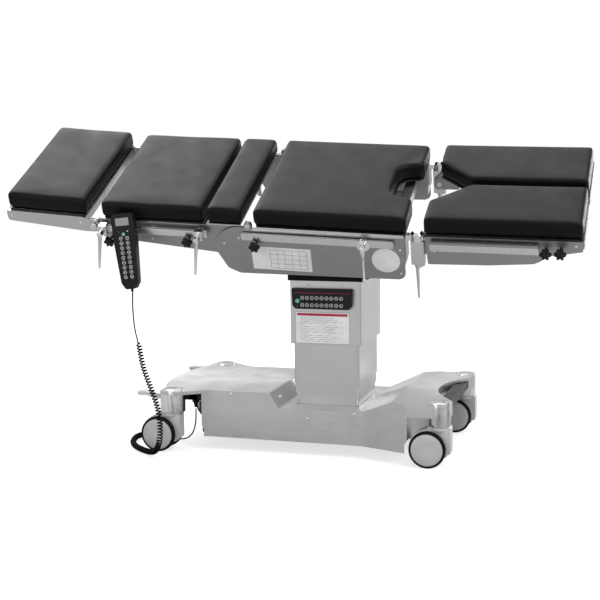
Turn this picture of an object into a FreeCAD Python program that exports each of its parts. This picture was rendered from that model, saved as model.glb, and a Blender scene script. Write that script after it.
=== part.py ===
"""Operating table on a telescopic column, standing on four swivel casters.

Millimetres. The origin is on the floor under the column's axis, +X runs to
the leg end, +Y to the far side and +Z up. The top is drawn level around the
crossing of the two tilt axles and then set to its resting tilt.
"""
import FreeCAD, Part
import math
import os

import Sketcher

Vector = FreeCAD.Vector
Placement = FreeCAD.Placement
Rotation = FreeCAD.Rotation

SIZES = {
    # the base on the floor
    "caster_left": -540,
    "caster_right": 426,
    "caster_side": 267,
    "boss_radius": 37,
    "boss_foot": 139,
    "boss_bore": 10.3,
    "deck_top": 215,
    "deck_dip": 160,
    "deck_wall": 5,
    "deck_lip": 203,
    "skirt_foot": 48,
    "skirt_left": -430,
    "skirt_side": 240,
    "flare_start": 150,
    "flare_end": 322,
    "dip_left": -147,
    "dip_left_top": -182,
    "dip_right": 144,
    "dip_right_top": 267,
    "bulge_left": -645,
    "bulge_round": 600,
    "hollow_right": 330,
    "hollow_round": 300,
    "flange_foot": 168,
    "arch_low": 75,
    "arch_wide": 118,
    "arch_narrow": 72,
    "arch_top": 150,
    "frame_low": 62,
    "frame_top": 148,
    "frame_rail": 190,
    "frame_rail_wide": 50,
    "frame_end": -445,
    "frame_end_wall": 13,
    "beam_low": 165,
    "beam_top": 202,
    "beam_half": 20,
    "control_long": 170,
    "shaft_x": -592,
    "shaft_z": 185,
    "shaft_radius": 6,
    "paddle_reach": -671,
    "paddle_near": 230,
    "paddle_far": 270,
    "paddle_top": 203,
    "paddle_thick": 12,
    # the column
    "column_clear": 15.5,
    "column_foot_z": 378,
    "column_top": 602,
    "column_wall": 3,
    "shell_half": 113,
    "shell_side": 134,
    "shell_wall": 2.5,
    "shell_gap": 0.5,
    "foot_low": 150,
    "foot_top": 360,
    "lower_shell_low": 200,
    "lower_shell_top": 400,
    "middle_shell_low": 236,
    "middle_shell_top": 451,
    "cylinder_radius": 45,
    "cylinder_top": 380,
    "ram_radius": 34,
    "ram_low": 230,
    "running_gap": 0.3,
    "bellows_proud": 6,
    "bellows_top": 640,
    "bellows_wall": 9,
    "panel_thick": 14,
    "panel_left": -119,
    "panel_right": 101,
    "panel_low": 504,
    "panel_top": 577,
    "panel_key_x": -97,
    "panel_key_z": 532,
    "key_radius": 7.5,
    "key_travel": 1.2,
    "key_proud": 2,
    "label_low": 381,
    "label_top": 492,
    # the crossing of the tilt axles and the resting tilt
    "pivot_z": 795.6,
    "side_tilt": 28.8,
    "end_tilt": 3.1,
    "axle_radius": 12,
    "ear_inner": 52,
    "ear_outer": 66,
    "ear_half": 28,
    "cross_half": 36,
    "cross_reach": 45,
    "cheek_inner": 62,
    "cheek_outer": 74,
    "cheek_round": 28,
    # the seat section
    "pad_clear": 1,
    "plate_thick": 5,
    "plate_top": 127,
    "board_thick": 6,
    "cushion_thick": 60,
    "cushion_half": 252,
    "cushion_round": 14,
    "cushion_corner": 22,
    "board_inset": 2,
    "seat_left": -364,
    "seat_right": 300,
    "seat_low_left": -61,
    "seat_low_right": -44,
    "seat_disc": 88,
    "seat_cushion_left": -218,
    "seat_cushion_right": 308,
    "notch_centre": 322,
    "notch_corner": 55,
    "notch_radius": 98,
    "spine_low": 60,
    "spine_top": 100,
    "hinge_x": -240,
    "hinge_z": 135,
    "hinge_round": 13.5,
    "pin_radius": 6,
    # the rails along the sides
    "rail_gap": 5,
    "rail_thick": 10,
    "rail_low": 88,
    "rail_high": 113,
    "spacer_radius": 7,
    "seat_rail_left": -262,
    "seat_rail_right": 267,
    "back_rail_left": -790,
    "back_rail_right": -385,
    "leg_rail_left": 389,
    "leg_rail_right": 743,
    # the back section
    "back_inset": 9,
    "back_thick": 6,
    "back_left": -796,
    "back_cushion_left": -772,
    "back_cushion_right": -400,
    "back_low_left": 41,
    "back_low_right": 13,
    "bridge_left": -388,
    "bridge_right": -262,
    "bridge_round": 30,
    "bridge_post": 8,
    "bridge_post_side": 150,
    "bridge_post_low": 5,
    # the head section
    "head_hinge_x": -812,
    "head_hinge_z": 100,
    "head_lift": 2.25,
    "head_inset": 2,
    "head_left": -1143,
    "head_low_left": 90,
    "head_low_right": 73,
    "head_plate_top": 131,
    "head_cushion_left": -1137,
    "head_cushion_right": -836,
    "head_lug": 24,
    # the leg sections
    "leg_hinge_x": 341,
    "leg_hinge_z": 52,
    "leg_drop": -1.5,
    "leg_inset": 6,
    "leg_thick": 8,
    "leg_hinge_inset": 20,
    "leg_plate_left": 376,
    "leg_plate_right": 885,
    "leg_plate_top": 131,
    "leg_cushion_left": 365,
    "leg_cushion_gap": 13,
    "leg_diagonal_x": 493,
    "leg_diagonal_y": 125,
    "knuckle_half": 22,
    "knuckle_side": 19,
    "knuckle_low": 11,
    "knuckle_top": 104,
    "post_radius": 9,
    "dome_radius": 21,
    "dome_top": 138,
    # fittings on the rails
    "knob_radius": 14,
    "knob_lobe": 6,
    "knob_thick": 22,
    "knob_stem": 5,
    "lever_long": 188,
    "clamp_lever_long": 120,
    "lever_thick": 7,
    "lever_thin": 3.5,
    "clamp_half": 14,
    "ring_radius": 22.5,
    # the handset
    "handset_out": 58,
    "handset_x": -662.5,
    "handset_z": 713,
    "handset_wide": 84,
    "handset_long": 264,
    "handset_thick": 24,
    "handset_lean": -6.1,
    # the casters
    "wheel_radius": 62.5,
    "wheel_width": 24,
    "wheel_inner": 26,
    "caster_trail": 35,
    "swivel_sweep": 113,
    "hood_half": 22,
    "hood_round": 66,
    "hood_front": 40,
    "cord_radius": 2.75,
    "coil_radius": 8.5,
}

doc = FreeCAD.newDocument("OperatingTable")
sheet = doc.addObject("Spreadsheet::Sheet", "Sizes")
for row, (alias, number) in enumerate(SIZES.items(), start=1):
    sheet.set(f"A{row}", alias)
    sheet.set(f"B{row}", str(number))
    sheet.setAlias(f"B{row}", alias)
doc.recompute()


class Size:
    """A cell of the sheet, or a sum made of cells, as a formula and its value."""

    def __init__(self, formula, value):
        self.formula = formula
        self.value = float(value)

    def join(self, sign, other, value):
        return Size(f"({self.formula} {sign} {size(other).formula})", value)

    def __add__(self, other):
        return self.join("+", other, self.value + size(other).value)

    def __sub__(self, other):
        return self.join("-", other, self.value - size(other).value)

    def __mul__(self, other):
        return self.join("*", other, self.value * size(other).value)

    def __truediv__(self, other):
        return self.join("/", other, self.value / size(other).value)

    def __neg__(self):
        return size(0) - self

    __radd__ = __add__
    __rmul__ = __mul__

    def __rsub__(self, other):
        return size(other) - self


def size(value):
    """A plain number as a Size."""
    if isinstance(value, Size):
        return value
    return Size(f"({value:.6g})", value)


TIED = {}


class Cells:
    """The sheet's cells by name, and the sizes tied to them."""

    def __getattr__(self, name):
        return TIED.get(name) or Size(f"Sizes.{name}", SIZES[name])


d = Cells()
TIED["plate_inner"] = d.cushion_half + d.pad_clear
TIED["plate_outer"] = d.plate_inner + d.plate_thick
TIED["rail_inner"] = d.plate_outer + d.rail_gap
TIED["rail_outer"] = d.rail_inner + d.rail_thick
TIED["back_plate_inner"] = d.cushion_half - d.back_inset
TIED["back_plate_outer"] = d.back_plate_inner + d.back_thick
TIED["head_arm_inner"] = d.cushion_half - d.head_inset
TIED["head_arm_outer"] = d.head_arm_inner + d.back_thick
TIED["leg_plate_inner"] = d.cushion_half - d.leg_inset
TIED["leg_plate_outer"] = d.leg_plate_inner + d.leg_thick
TIED["leg_hinge_y"] = d.cushion_half - d.leg_hinge_inset
TIED["knob_start"] = d.rail_outer + 3
TIED["clamp_front"] = d.rail_outer + 13
TIED["handset_y"] = -(d.rail_outer + d.handset_out)
TIED["column_half"] = d.shell_half + d.column_clear
TIED["column_side"] = d.shell_side + d.column_clear - 1.5
TIED["bellows_half"] = d.column_half + d.bellows_proud
TIED["bellows_side"] = d.column_side + d.bellows_proud - 1
TIED["panel_front"] = d.column_side + d.panel_thick
nodes = []
ALONG = {
    "x": Rotation(Vector(0, 1, 0), 90),
    "y": Rotation(Vector(1, 0, 0), -90),
    "z": Rotation(),
}


def bind(item, path, value):
    """Ties one property to the sheet."""
    item.setExpression(path, size(value).formula)


def put(item, x, y, z):
    """Ties an object's place to the sheet."""
    bind(item, "Placement.Base.x", x)
    bind(item, "Placement.Base.y", y)
    bind(item, "Placement.Base.z", z)


def box(name, x, y, z):
    """A block between two values along each axis."""
    item = doc.addObject("Part::Box", name)
    bind(item, "Length", size(x[1]) - x[0])
    bind(item, "Width", size(y[1]) - y[0])
    bind(item, "Height", size(z[1]) - z[0])
    put(item, x[0], y[0], z[0])
    return item


def start_of(axis, centre, reach):
    """The place where a round piece about a line along one axis begins."""
    order = {"x": (reach[0], centre[0], centre[1]), "y": (centre[0], reach[0], centre[1])}
    return order.get(axis, (centre[0], centre[1], reach[0]))


def rod(name, axis, centre, radius, reach):
    """A round bar along an axis; centre gives its other two coordinates."""
    item = doc.addObject("Part::Cylinder", name)
    item.Placement = Placement(Vector(), ALONG[axis])
    bind(item, "Radius", radius)
    bind(item, "Height", size(reach[1]) - reach[0])
    put(item, *start_of(axis, centre, reach))
    return item


def taper(name, axis, centre, radii, reach):
    """A round bar that narrows along an axis."""
    item = doc.addObject("Part::Cone", name)
    item.Placement = Placement(Vector(), ALONG[axis])
    bind(item, "Radius1", radii[0])
    bind(item, "Radius2", radii[1])
    bind(item, "Height", size(reach[1]) - reach[0])
    put(item, *start_of(axis, centre, reach))
    return item


def fuse(name, *items):
    item = doc.addObject("Part::MultiFuse", name)
    item.Shapes = list(items)
    return item


def cut(name, base, *tools):
    """Takes the tools away from the base."""
    item = doc.addObject("Part::Cut", name)
    item.Base = base
    item.Tool = tools[0] if len(tools) == 1 else fuse(name + "Tools", *tools)
    return item


def common(name, *items):
    item = doc.addObject("Part::MultiCommon", name)
    item.Shapes = list(items)
    return item


def group(name, *items):
    """Several solids that keep apart."""
    item = doc.addObject("Part::Compound", name)
    item.Links = list(items)
    return item


def corner_turn(back_point, here, next_point, radius):
    """The two tangent points and the arc that round one corner."""
    back = (back_point - here).normalize()
    ahead = (next_point - here).normalize()
    half = back.getAngle(ahead) / 2
    reach = radius / math.tan(half)
    entry = here + back * reach
    leave = here + ahead * reach
    centre = here + (back + ahead).normalize() * (radius / math.sin(half))
    left = back.cross(ahead).z < 0
    start, end = (entry, leave) if left else (leave, entry)
    arc = Part.ArcOfCircle(
        Part.Circle(centre, Vector(0, 0, 1), radius),
        math.atan2(start.y - centre.y, start.x - centre.x),
        math.atan2(end.y - centre.y, end.x - centre.x),
    )
    return entry, leave, arc, left


def outline(sketch, corners):
    """A closed loop through corners (u, v) or rounded corners (u, v, radius), tied to the sheet."""
    points = [Vector(size(c[0]).value, size(c[1]).value, 0) for c in corners]
    count = len(points)
    turns = []
    for i, corner in enumerate(corners):
        if len(corner) == 2:
            turns.append((points[i], points[i], None, True))
            continue
        radius = size(corner[2]).value
        turns.append(corner_turn(points[i - 1], points[i], points[(i + 1) % count], radius))
    geometry = [Part.LineSegment(turns[i][1], turns[(i + 1) % count][0]) for i in range(count)]
    rules = []
    ties = []
    for i, corner in enumerate(corners):
        before = (i - 1) % count
        arc, left = turns[i][2:]
        where = (i, 1)
        if arc is None:
            rules.append(Sketcher.Constraint("Coincident", before, 2, i, 1))
        else:
            bend = len(geometry)
            geometry += [arc, Part.Point(points[i])]
            entry, leave = (1, 2) if left else (2, 1)
            rules.append(Sketcher.Constraint("Tangent", before, 2, bend, entry))
            rules.append(Sketcher.Constraint("Tangent", bend, leave, i, 1))
            rules.append(Sketcher.Constraint("PointOnObject", bend + 1, 1, before))
            rules.append(Sketcher.Constraint("PointOnObject", bend + 1, 1, i))
            ties.append((len(rules), size(corner[2])))
            rules.append(Sketcher.Constraint("Radius", bend, size(corner[2]).value))
            where = (bend + 1, 1)
        for kind, value in (("DistanceX", corner[0]), ("DistanceY", corner[1])):
            ties.append((len(rules), size(value)))
            rules.append(Sketcher.Constraint(kind, -1, 1, *where, size(value).value))
    sketch.addGeometry(geometry, False)
    for index, item in enumerate(geometry):
        if isinstance(item, Part.Point):
            sketch.setConstruction(index, True)
    sketch.addConstraint(rules)
    for index, value in ties:
        sketch.setExpression(f"Constraints[{index}]", value.formula)


def prism(name, plane, corners, reach):
    """A body with one sketched outline, padded between two values across its plane."""
    body = doc.addObject("PartDesign::Body", name)
    sketch = body.newObject("Sketcher::SketchObject", name + "Sketch")
    role = plane + "_Plane"
    origin_plane = [f for f in body.Origin.OriginFeatures if f.Role == role][0]
    sketch.AttachmentSupport = [(origin_plane, "")]
    sketch.MapMode = "FlatFace"
    outline(sketch, corners)
    first = -size(reach[1]) if plane == "XZ" else size(reach[0])
    bind(sketch, "AttachmentOffset.Base.z", first)
    pad = body.newObject("PartDesign::Pad", name + "Pad")
    pad.Profile = sketch
    bind(pad, "Length", size(reach[1]) - reach[0])
    return body


def soften(body, name, radius, choose):
    """Rounds the chosen edges of a body's pad."""
    doc.recompute()
    base = body.Tip
    picked = [f"Edge{i}" for i, edge in enumerate(base.Shape.Edges, start=1) if choose(edge)]
    fillet = body.newObject("PartDesign::Fillet", name)
    fillet.Base = (base, picked)
    bind(fillet, "Radius", radius)
    return body


def level_at(edge, z):
    """Does an edge lie flat at one height?"""
    bounds = edge.BoundBox
    return abs(bounds.ZMin - z) < 0.01 and abs(bounds.ZMax - z) < 0.01


def side_span(side, inner, outer):
    """The stretch of Y between two distances from the middle, on the near or the far side."""
    if side < 0:
        return (-size(outer), -size(inner))
    return (size(inner), size(outer))


def node(label, item, place=None):
    """Names a sub-part and sets it in its place."""
    if item.TypeId in ("Part::Box", "Part::Cylinder", "Part::Cone", "Part::Sphere"):
        item = group(label + "_piece", item)
    item.Label = label
    if place is not None:
        item.Placement = place
    nodes.append(item)
    return item


def about_y(x, z, angle):
    """A turn about a line along Y."""
    return Placement(Vector(), Rotation(Vector(0, 1, 0), angle), Vector(x.value, 0, z.value))


TOP = Placement(Vector(0, 0, d.pivot_z.value), Rotation(Vector(1, 0, 0), d.side_tilt.value))
TOP = TOP.multiply(Placement(Vector(), Rotation(Vector(0, 1, 0), d.end_tilt.value)))
HEAD = TOP.multiply(about_y(d.head_hinge_x, d.head_hinge_z, d.head_lift.value))
LEGS = TOP.multiply(about_y(d.leg_hinge_x, d.leg_hinge_z, d.leg_drop.value))
CASTERS = {
    "fl": (d.caster_left, -d.caster_side),
    "rl": (d.caster_left, d.caster_side),
    "fr": (d.caster_right, -d.caster_side),
    "rr": (d.caster_right, d.caster_side),
}


def cover_plan(inset):
    """The base cover seen from above, drawn in by a wall."""
    left = d.caster_left - d.boss_radius + inset
    right = d.caster_right + d.boss_radius - inset
    side = d.caster_side + d.boss_radius - inset
    skirt = d.skirt_side - inset
    end = d.caster_side - d.boss_radius
    round_end = d.boss_radius - inset
    near = [
        (left, -side, round_end),
        (d.caster_left + 40, -side, 40),
        (d.skirt_left + 15, -skirt, 60),
        (d.flare_start, -skirt, 90),
        (d.flare_end, -side, 30),
        (right, -side, round_end),
        (right, -end),
        (d.hollow_right - inset, 0, d.hollow_round),
    ]
    far = [(x, -y, *rest) for x, y, *rest in reversed(near[:-1])]
    return near + far + [(left, end), (d.bulge_left + inset, 0, d.bulge_round), (left, -end)]


def cover_profile(drop, wall):
    """The base cover seen from the side: two raised decks and a dip for the column."""
    top = d.deck_top - drop
    dip = d.deck_dip - drop
    left = d.bulge_left + wall - 10
    right = d.caster_right + d.boss_radius - wall + 5
    foot = d.skirt_foot - drop
    lip = d.deck_lip - drop
    return [
        (d.skirt_left - wall * 2, foot),
        (d.flare_end - wall, foot - 4),
        (d.flare_end - wall, d.flange_foot - drop),
        (right, d.flange_foot - drop),
        (right, top),
        (d.dip_right_top, top, 20),
        (d.dip_right, dip, 15),
        (d.dip_left, dip, 10),
        (d.dip_left_top, top, 10),
        (left, top),
        (left, lip),
        (d.skirt_left - wall * 2, lip),
    ]


def make_base():
    """The welded frame, the cover over it and the caster sockets."""
    whole = size(0) + 330
    plan = prism("CoverPlan", "XY", cover_plan(size(0)), (d.skirt_foot - 10, d.deck_top + 5))
    profile = prism("CoverProfile", "XZ", cover_profile(size(0), size(0)), (-whole, whole))
    hollow_plan = prism(
        "HollowPlan", "XY", cover_plan(d.deck_wall), (d.skirt_foot - 30, d.deck_top + 5)
    )
    hollow_profile = prism(
        "HollowProfile", "XZ", cover_profile(d.deck_wall, d.deck_wall), (-whole, whole)
    )
    solid = common("CoverSolid", plan, profile)
    hollow = common("CoverHollow", hollow_plan, hollow_profile)
    tools = [hollow]
    gap = d.shell_gap * 3
    half = d.shell_half + gap
    side = d.shell_side + gap
    tools.append(box("ColumnHole", (-half, half), (-side, side), (d.deck_dip - 20, d.deck_dip + 20)))
    beam_wide = d.beam_half + 1
    beam_x = (d.caster_right - beam_wide, d.caster_right + beam_wide)
    boss_face = d.caster_side - d.boss_radius
    tools.append(box("BeamSlot", beam_x, (-boss_face - 4, boss_face + 4), (d.beam_low - 5, d.deck_lip)))
    for name, (x, y) in CASTERS.items():
        tools.append(rod("Pocket_" + name, "z", (x, y), d.boss_radius + 0.3, (0, d.deck_lip)))
        arch = (d.arch_wide, d.arch_narrow)
        tools.append(rod("Arch_" + name, "z", (x, y), d.arch_wide, (0, d.arch_low)))
        tools.append(taper("ArchTop_" + name, "z", (x, y), arch, (d.arch_low, d.arch_top)))
    node("base_cover", cut("BaseCover", solid, *tools))

    sleeves = []
    for name, (x, y) in CASTERS.items():
        sleeve = rod("Sleeve_" + name, "z", (x, y), d.boss_radius, (d.boss_foot, d.deck_lip))
        bore = rod("SleeveBore_" + name, "z", (x, y), d.boss_bore, (d.boss_foot - 1, d.deck_lip - 8))
        sleeves.append(cut("Boss_" + name, sleeve, bore))
    node("caster_bosses", group("CasterBosses", *sleeves))

    pieces = []
    rail_half = d.frame_rail_wide / 2
    rail_middle = d.frame_rail - rail_half
    for side in (-1, 1):
        name = "Near" if side < 0 else "Far"
        span = side_span(side, rail_middle - rail_half, rail_middle + rail_half)
        pieces.append(box("FrameRail" + name, (d.frame_end, 300), span, (d.frame_low, d.frame_top)))
        pieces.append(box("EndPost" + name, (-500, -470), span, (d.beam_low, d.beam_top)))
        pieces.append(box("LeftLink" + name, (d.caster_left, d.frame_end + 20), span, (d.beam_low, d.beam_top)))
        pieces.append(box("LeftRiser" + name, (d.frame_end, -405), span, (d.frame_low, d.beam_top)))
        pieces.append(box("RightRiser" + name, (270, 300), span, (d.frame_low, d.beam_top)))
        pieces.append(box("RightLink" + name, (270, d.caster_right), span, (d.beam_low + 10, d.beam_top)))
        ear = side_span(side, 178, 186)
        ear_plate = box("ShaftEar" + name, (d.shaft_x - 12, d.caster_left), ear, (d.shaft_z - 13, d.beam_top))
        ear_bore = rod("EarBore" + name, "y", (d.shaft_x, d.shaft_z), d.shaft_radius + 0.3, (ear[0] - 1, ear[1] + 1))
        pieces.append(cut("ShaftEarBored" + name, ear_plate, ear_bore))
    for name, x in (("Left", d.caster_left), ("Right", d.caster_right)):
        pieces.append(
            box(
                "CrossBeam" + name,
                (x - d.beam_half, x + d.beam_half),
                (-boss_face - 3, boss_face + 3),
                (d.beam_low + 10, d.beam_top),
            )
        )
    end_span = (-(d.skirt_side - 6), d.skirt_side - 6)
    pieces.append(box("FrameEnd", (d.frame_end, d.frame_end + d.frame_end_wall), end_span, (59, 169)))
    floor_half = d.shell_half + 12
    inner = d.frame_rail - d.frame_rail_wide + 2
    plate = box("ColumnPlate", (-floor_half, floor_half), (-inner, inner), (d.foot_low - 12, d.foot_low))
    hole = rod("ColumnPlateHole", "z", (0, 0), d.cylinder_radius + 0.2, (d.foot_low - 20, d.foot_low + 5))
    pieces.append(cut("ColumnPlateBored", plate, hole))
    bosses = [rod("BossClear_" + n, "z", (x, y), d.boss_radius, (0, d.deck_top)) for n, (x, y) in CASTERS.items()]
    bosses += [rod("SwivelClear_" + n, "z", (x, y), d.swivel_sweep, (0, 132)) for n, (x, y) in CASTERS.items()]
    clear = fuse("CasterClear", *bosses)
    frame = [cut(piece.Name + "Cleared", piece, clear) for piece in pieces]
    node("base_frame", group("BaseFrame", *frame))

    control_half = d.frame_rail - d.frame_rail_wide
    control_side = (-control_half, control_half)
    control = box("ControlBox", (-400, size(-400) + d.control_long), control_side, (d.frame_low, 145))
    node("control_box", control)
    socket = rod("SocketBody", "z", (-490, -152), 13, (d.beam_low - 14, d.beam_low))
    gland = taper("SocketGland", "z", (-490, -152), (5, 9), (d.beam_low - 34, d.beam_low - 14))
    node("handset_socket", fuse("HandsetSocket", socket, gland))


def tube(name, half, side, wall, z):
    """A rectangular tube standing on end, with rounded corners."""
    round_out = wall * 4
    outer = prism(
        name + "Outer",
        "XY",
        [(-half, -side, round_out), (half, -side, round_out), (half, side, round_out), (-half, side, round_out)],
        z,
    )
    x = half - wall
    y = side - wall
    r = round_out - wall
    inner = prism(name + "Inner", "XY", [(-x, -y, r), (x, -y, r), (x, y, r), (-x, y, r)], (z[0] - 1, z[1] + 1))
    return cut(name, outer, inner)


def make_column():
    """Nested shells around a lifting ram, with the panel on the near face."""
    step = d.shell_wall + d.shell_gap
    node("column_foot", tube("Foot", d.shell_half, d.shell_side, d.shell_wall, (d.foot_low, d.foot_top)))
    lower = (d.lower_shell_low, d.lower_shell_top)
    node("column_shell_lower", tube("Lower", d.shell_half + step, d.shell_side + step, d.shell_wall, lower))
    middle = (d.middle_shell_low, d.middle_shell_top)
    node(
        "column_shell_middle",
        tube("Middle", d.shell_half + step * 2, d.shell_side + step * 2, d.shell_wall, middle),
    )
    top_plate = d.column_top - 4
    outer = prism(
        "CoverOuter",
        "XY",
        [
            (-d.column_half, -d.column_side, 6),
            (d.column_half, -d.column_side, 6),
            (d.column_half, d.column_side, 6),
            (-d.column_half, d.column_side, 6),
        ],
        (d.column_foot_z, d.column_top),
    )
    x = d.column_half - d.column_wall
    y = d.column_side - d.column_wall
    inner = box("CoverInner", (-x, x), (-y, y), (d.column_foot_z - 1, top_plate))
    node("column_cover", cut("ColumnCover", outer, inner))

    barrel = rod("Barrel", "z", (0, 0), d.cylinder_radius, (d.foot_low - 90, d.cylinder_top))
    barrel_bore = rod("BarrelBore", "z", (0, 0), d.ram_radius + d.running_gap, (0, d.cylinder_top + 1))
    node("lift_cylinder", cut("LiftCylinder", barrel, barrel_bore))
    node("lift_ram", rod("LiftRam", "z", (0, 0), d.ram_radius, (d.ram_low, top_plate)))

    base_plate = box("HeadPlate", (-100, 100), (-110, 110), (d.column_top, d.column_top + 12))
    ears = []
    for name, span in (("Left", (-d.ear_outer, -d.ear_inner)), ("Right", (d.ear_inner, d.ear_outer))):
        blade = prism(
            "Ear" + name,
            "YZ",
            [
                (-d.ear_half * 2, d.column_top + 12),
                (d.ear_half * 2, d.column_top + 12),
                (d.ear_half, d.pivot_z - 40),
                (d.ear_half, d.pivot_z + d.ear_half, d.ear_half - 0.5),
                (-d.ear_half, d.pivot_z + d.ear_half, d.ear_half - 0.5),
                (-d.ear_half, d.pivot_z - 40),
            ],
            span,
        )
        bore = rod("EarHole" + name, "x", (0, d.pivot_z), d.axle_radius + 0.3, (span[0] - 1, span[1] + 1))
        ears.append(cut("EarBored" + name, blade, bore))
    node("column_head", fuse("ColumnHead", base_plate, *ears))

    ring = (d.column_top + 0.2, d.bellows_top)
    b_half = d.bellows_half
    b_side = d.bellows_side
    outer = box("BellowsOuter", (-b_half, b_half), (-b_side, b_side), ring)
    wall = d.bellows_wall
    inner = box(
        "BellowsInner",
        (-(b_half - wall), b_half - wall),
        (-(b_side - wall), b_side - wall),
        (d.column_top - 5, d.bellows_top + 5),
    )
    node("column_bellows", cut("ColumnBellows", outer, inner))

    housing = prism(
        "PanelBody",
        "XZ",
        [
            (d.panel_left, d.panel_top, 6),
            (d.panel_left + 3, d.panel_low + 12, 8),
            (d.panel_left + 14, d.panel_low, 8),
            (d.panel_right - 14, d.panel_low, 8),
            (d.panel_right - 3, d.panel_low + 12, 8),
            (d.panel_right, d.panel_top, 6),
        ],
        (-d.panel_front, -d.column_side),
    )
    key_bore = rod(
        "KeyBore",
        "y",
        (d.panel_key_x, d.panel_key_z),
        d.key_radius + 0.4,
        (-d.panel_front - 5, -d.panel_front + 5),
    )
    node("panel_housing", cut("PanelHousing", housing, key_bore))
    key_span = (-d.panel_front - d.key_proud, -d.panel_front + 3)
    node("panel_power_key", rod("PanelKey", "y", (d.panel_key_x, d.panel_key_z), d.key_radius, key_span))


def make_tilt_cross():
    """The cross block: one axle in the column's ears, the other carrying the seat."""
    block = box(
        "CrossBlock",
        (-d.cross_reach, d.cross_reach),
        (-d.cross_half, d.cross_half),
        (-20, 20),
    )
    long_axle = rod("LongAxle", "x", (0, 0), d.axle_radius, (-d.ear_outer - 3, d.ear_outer + 3))
    cross_axle = rod("CrossAxle", "y", (0, 0), d.axle_radius, (-d.cheek_outer - 3, d.cheek_outer + 3))
    side_only = Placement(Vector(0, 0, d.pivot_z.value), Rotation(Vector(1, 0, 0), d.side_tilt.value))
    node("tilt_cross", fuse("TiltCross", block, long_axle, cross_axle), side_only)


def seat_plate(name, span):
    """A seat side plate, rounded at the back end."""
    corners = [
        (-287, d.seat_low_left, 25),
        (d.seat_right, d.seat_low_right, 27),
        (d.seat_right, d.plate_top, 2),
        (d.seat_left, d.plate_top, d.seat_disc),
        (d.seat_left, 28, 8),
        (-329, -42, 20),
    ]
    return prism(name, "XZ", corners, span)


def hinge_ear(name, span):
    """The ear that stands on a seat plate and holds the back hinge's pin."""
    left = d.hinge_x - d.hinge_round
    right = d.hinge_x + d.hinge_round
    top = d.hinge_z + d.hinge_round
    ear_round = d.hinge_round - 0.5
    corners = [(left, d.plate_top), (right, d.plate_top), (right, top, ear_round), (left, top, ear_round)]
    return prism(name, "XZ", corners, span)


def pad_body(name, corners, low, thick):
    """A cushion: its outline padded up, with rounded rims."""
    body = prism(name, "XY", corners, (low, low + thick))
    top = (size(low) + thick).value
    return soften(body, name + "Rim", d.cushion_round, lambda edge: level_at(edge, top))


def rectangle(x, y, radius):
    """Four rounded corners."""
    return [(x[0], y[0], radius), (x[1], y[0], radius), (x[1], y[1], radius), (x[0], y[1], radius)]


def notched(left, right, half, radius):
    """A seat outline with a round bay in its leg end."""
    bay = d.notch_radius
    lip = 20
    return [
        (left, -half, radius),
        (right, -half, radius),
        (right, -bay - lip * 0.2, lip),
        (d.notch_centre - bay, -bay, d.notch_corner),
        (d.notch_centre - bay, bay, d.notch_corner),
        (right, bay + lip * 0.2, lip),
        (right, half, radius),
        (left, half, radius),
    ]


def make_rail(name, x, span_from, sides, low, high):
    """Side rails on spacers."""
    pieces = []
    for side in sides:
        tag = name + ("Near" if side < 0 else "Far")
        bar = prism(
            tag,
            "XZ",
            [(x[0], low, 6), (x[1], low, 6), (x[1], high, 6), (x[0], high, 6)],
            side_span(side, d.rail_inner, d.rail_outer),
        )
        pieces.append(bar)
        middle = (low + high) / 2
        for n, at in enumerate((x[0] + 35, (x[0] + x[1]) / 2, x[1] - 35)):
            span = side_span(side, span_from, d.rail_inner)
            pieces.append(rod(f"{tag}Spacer{n}", "y", (at, middle), d.spacer_radius, span))
    return group(name, *pieces)


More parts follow.
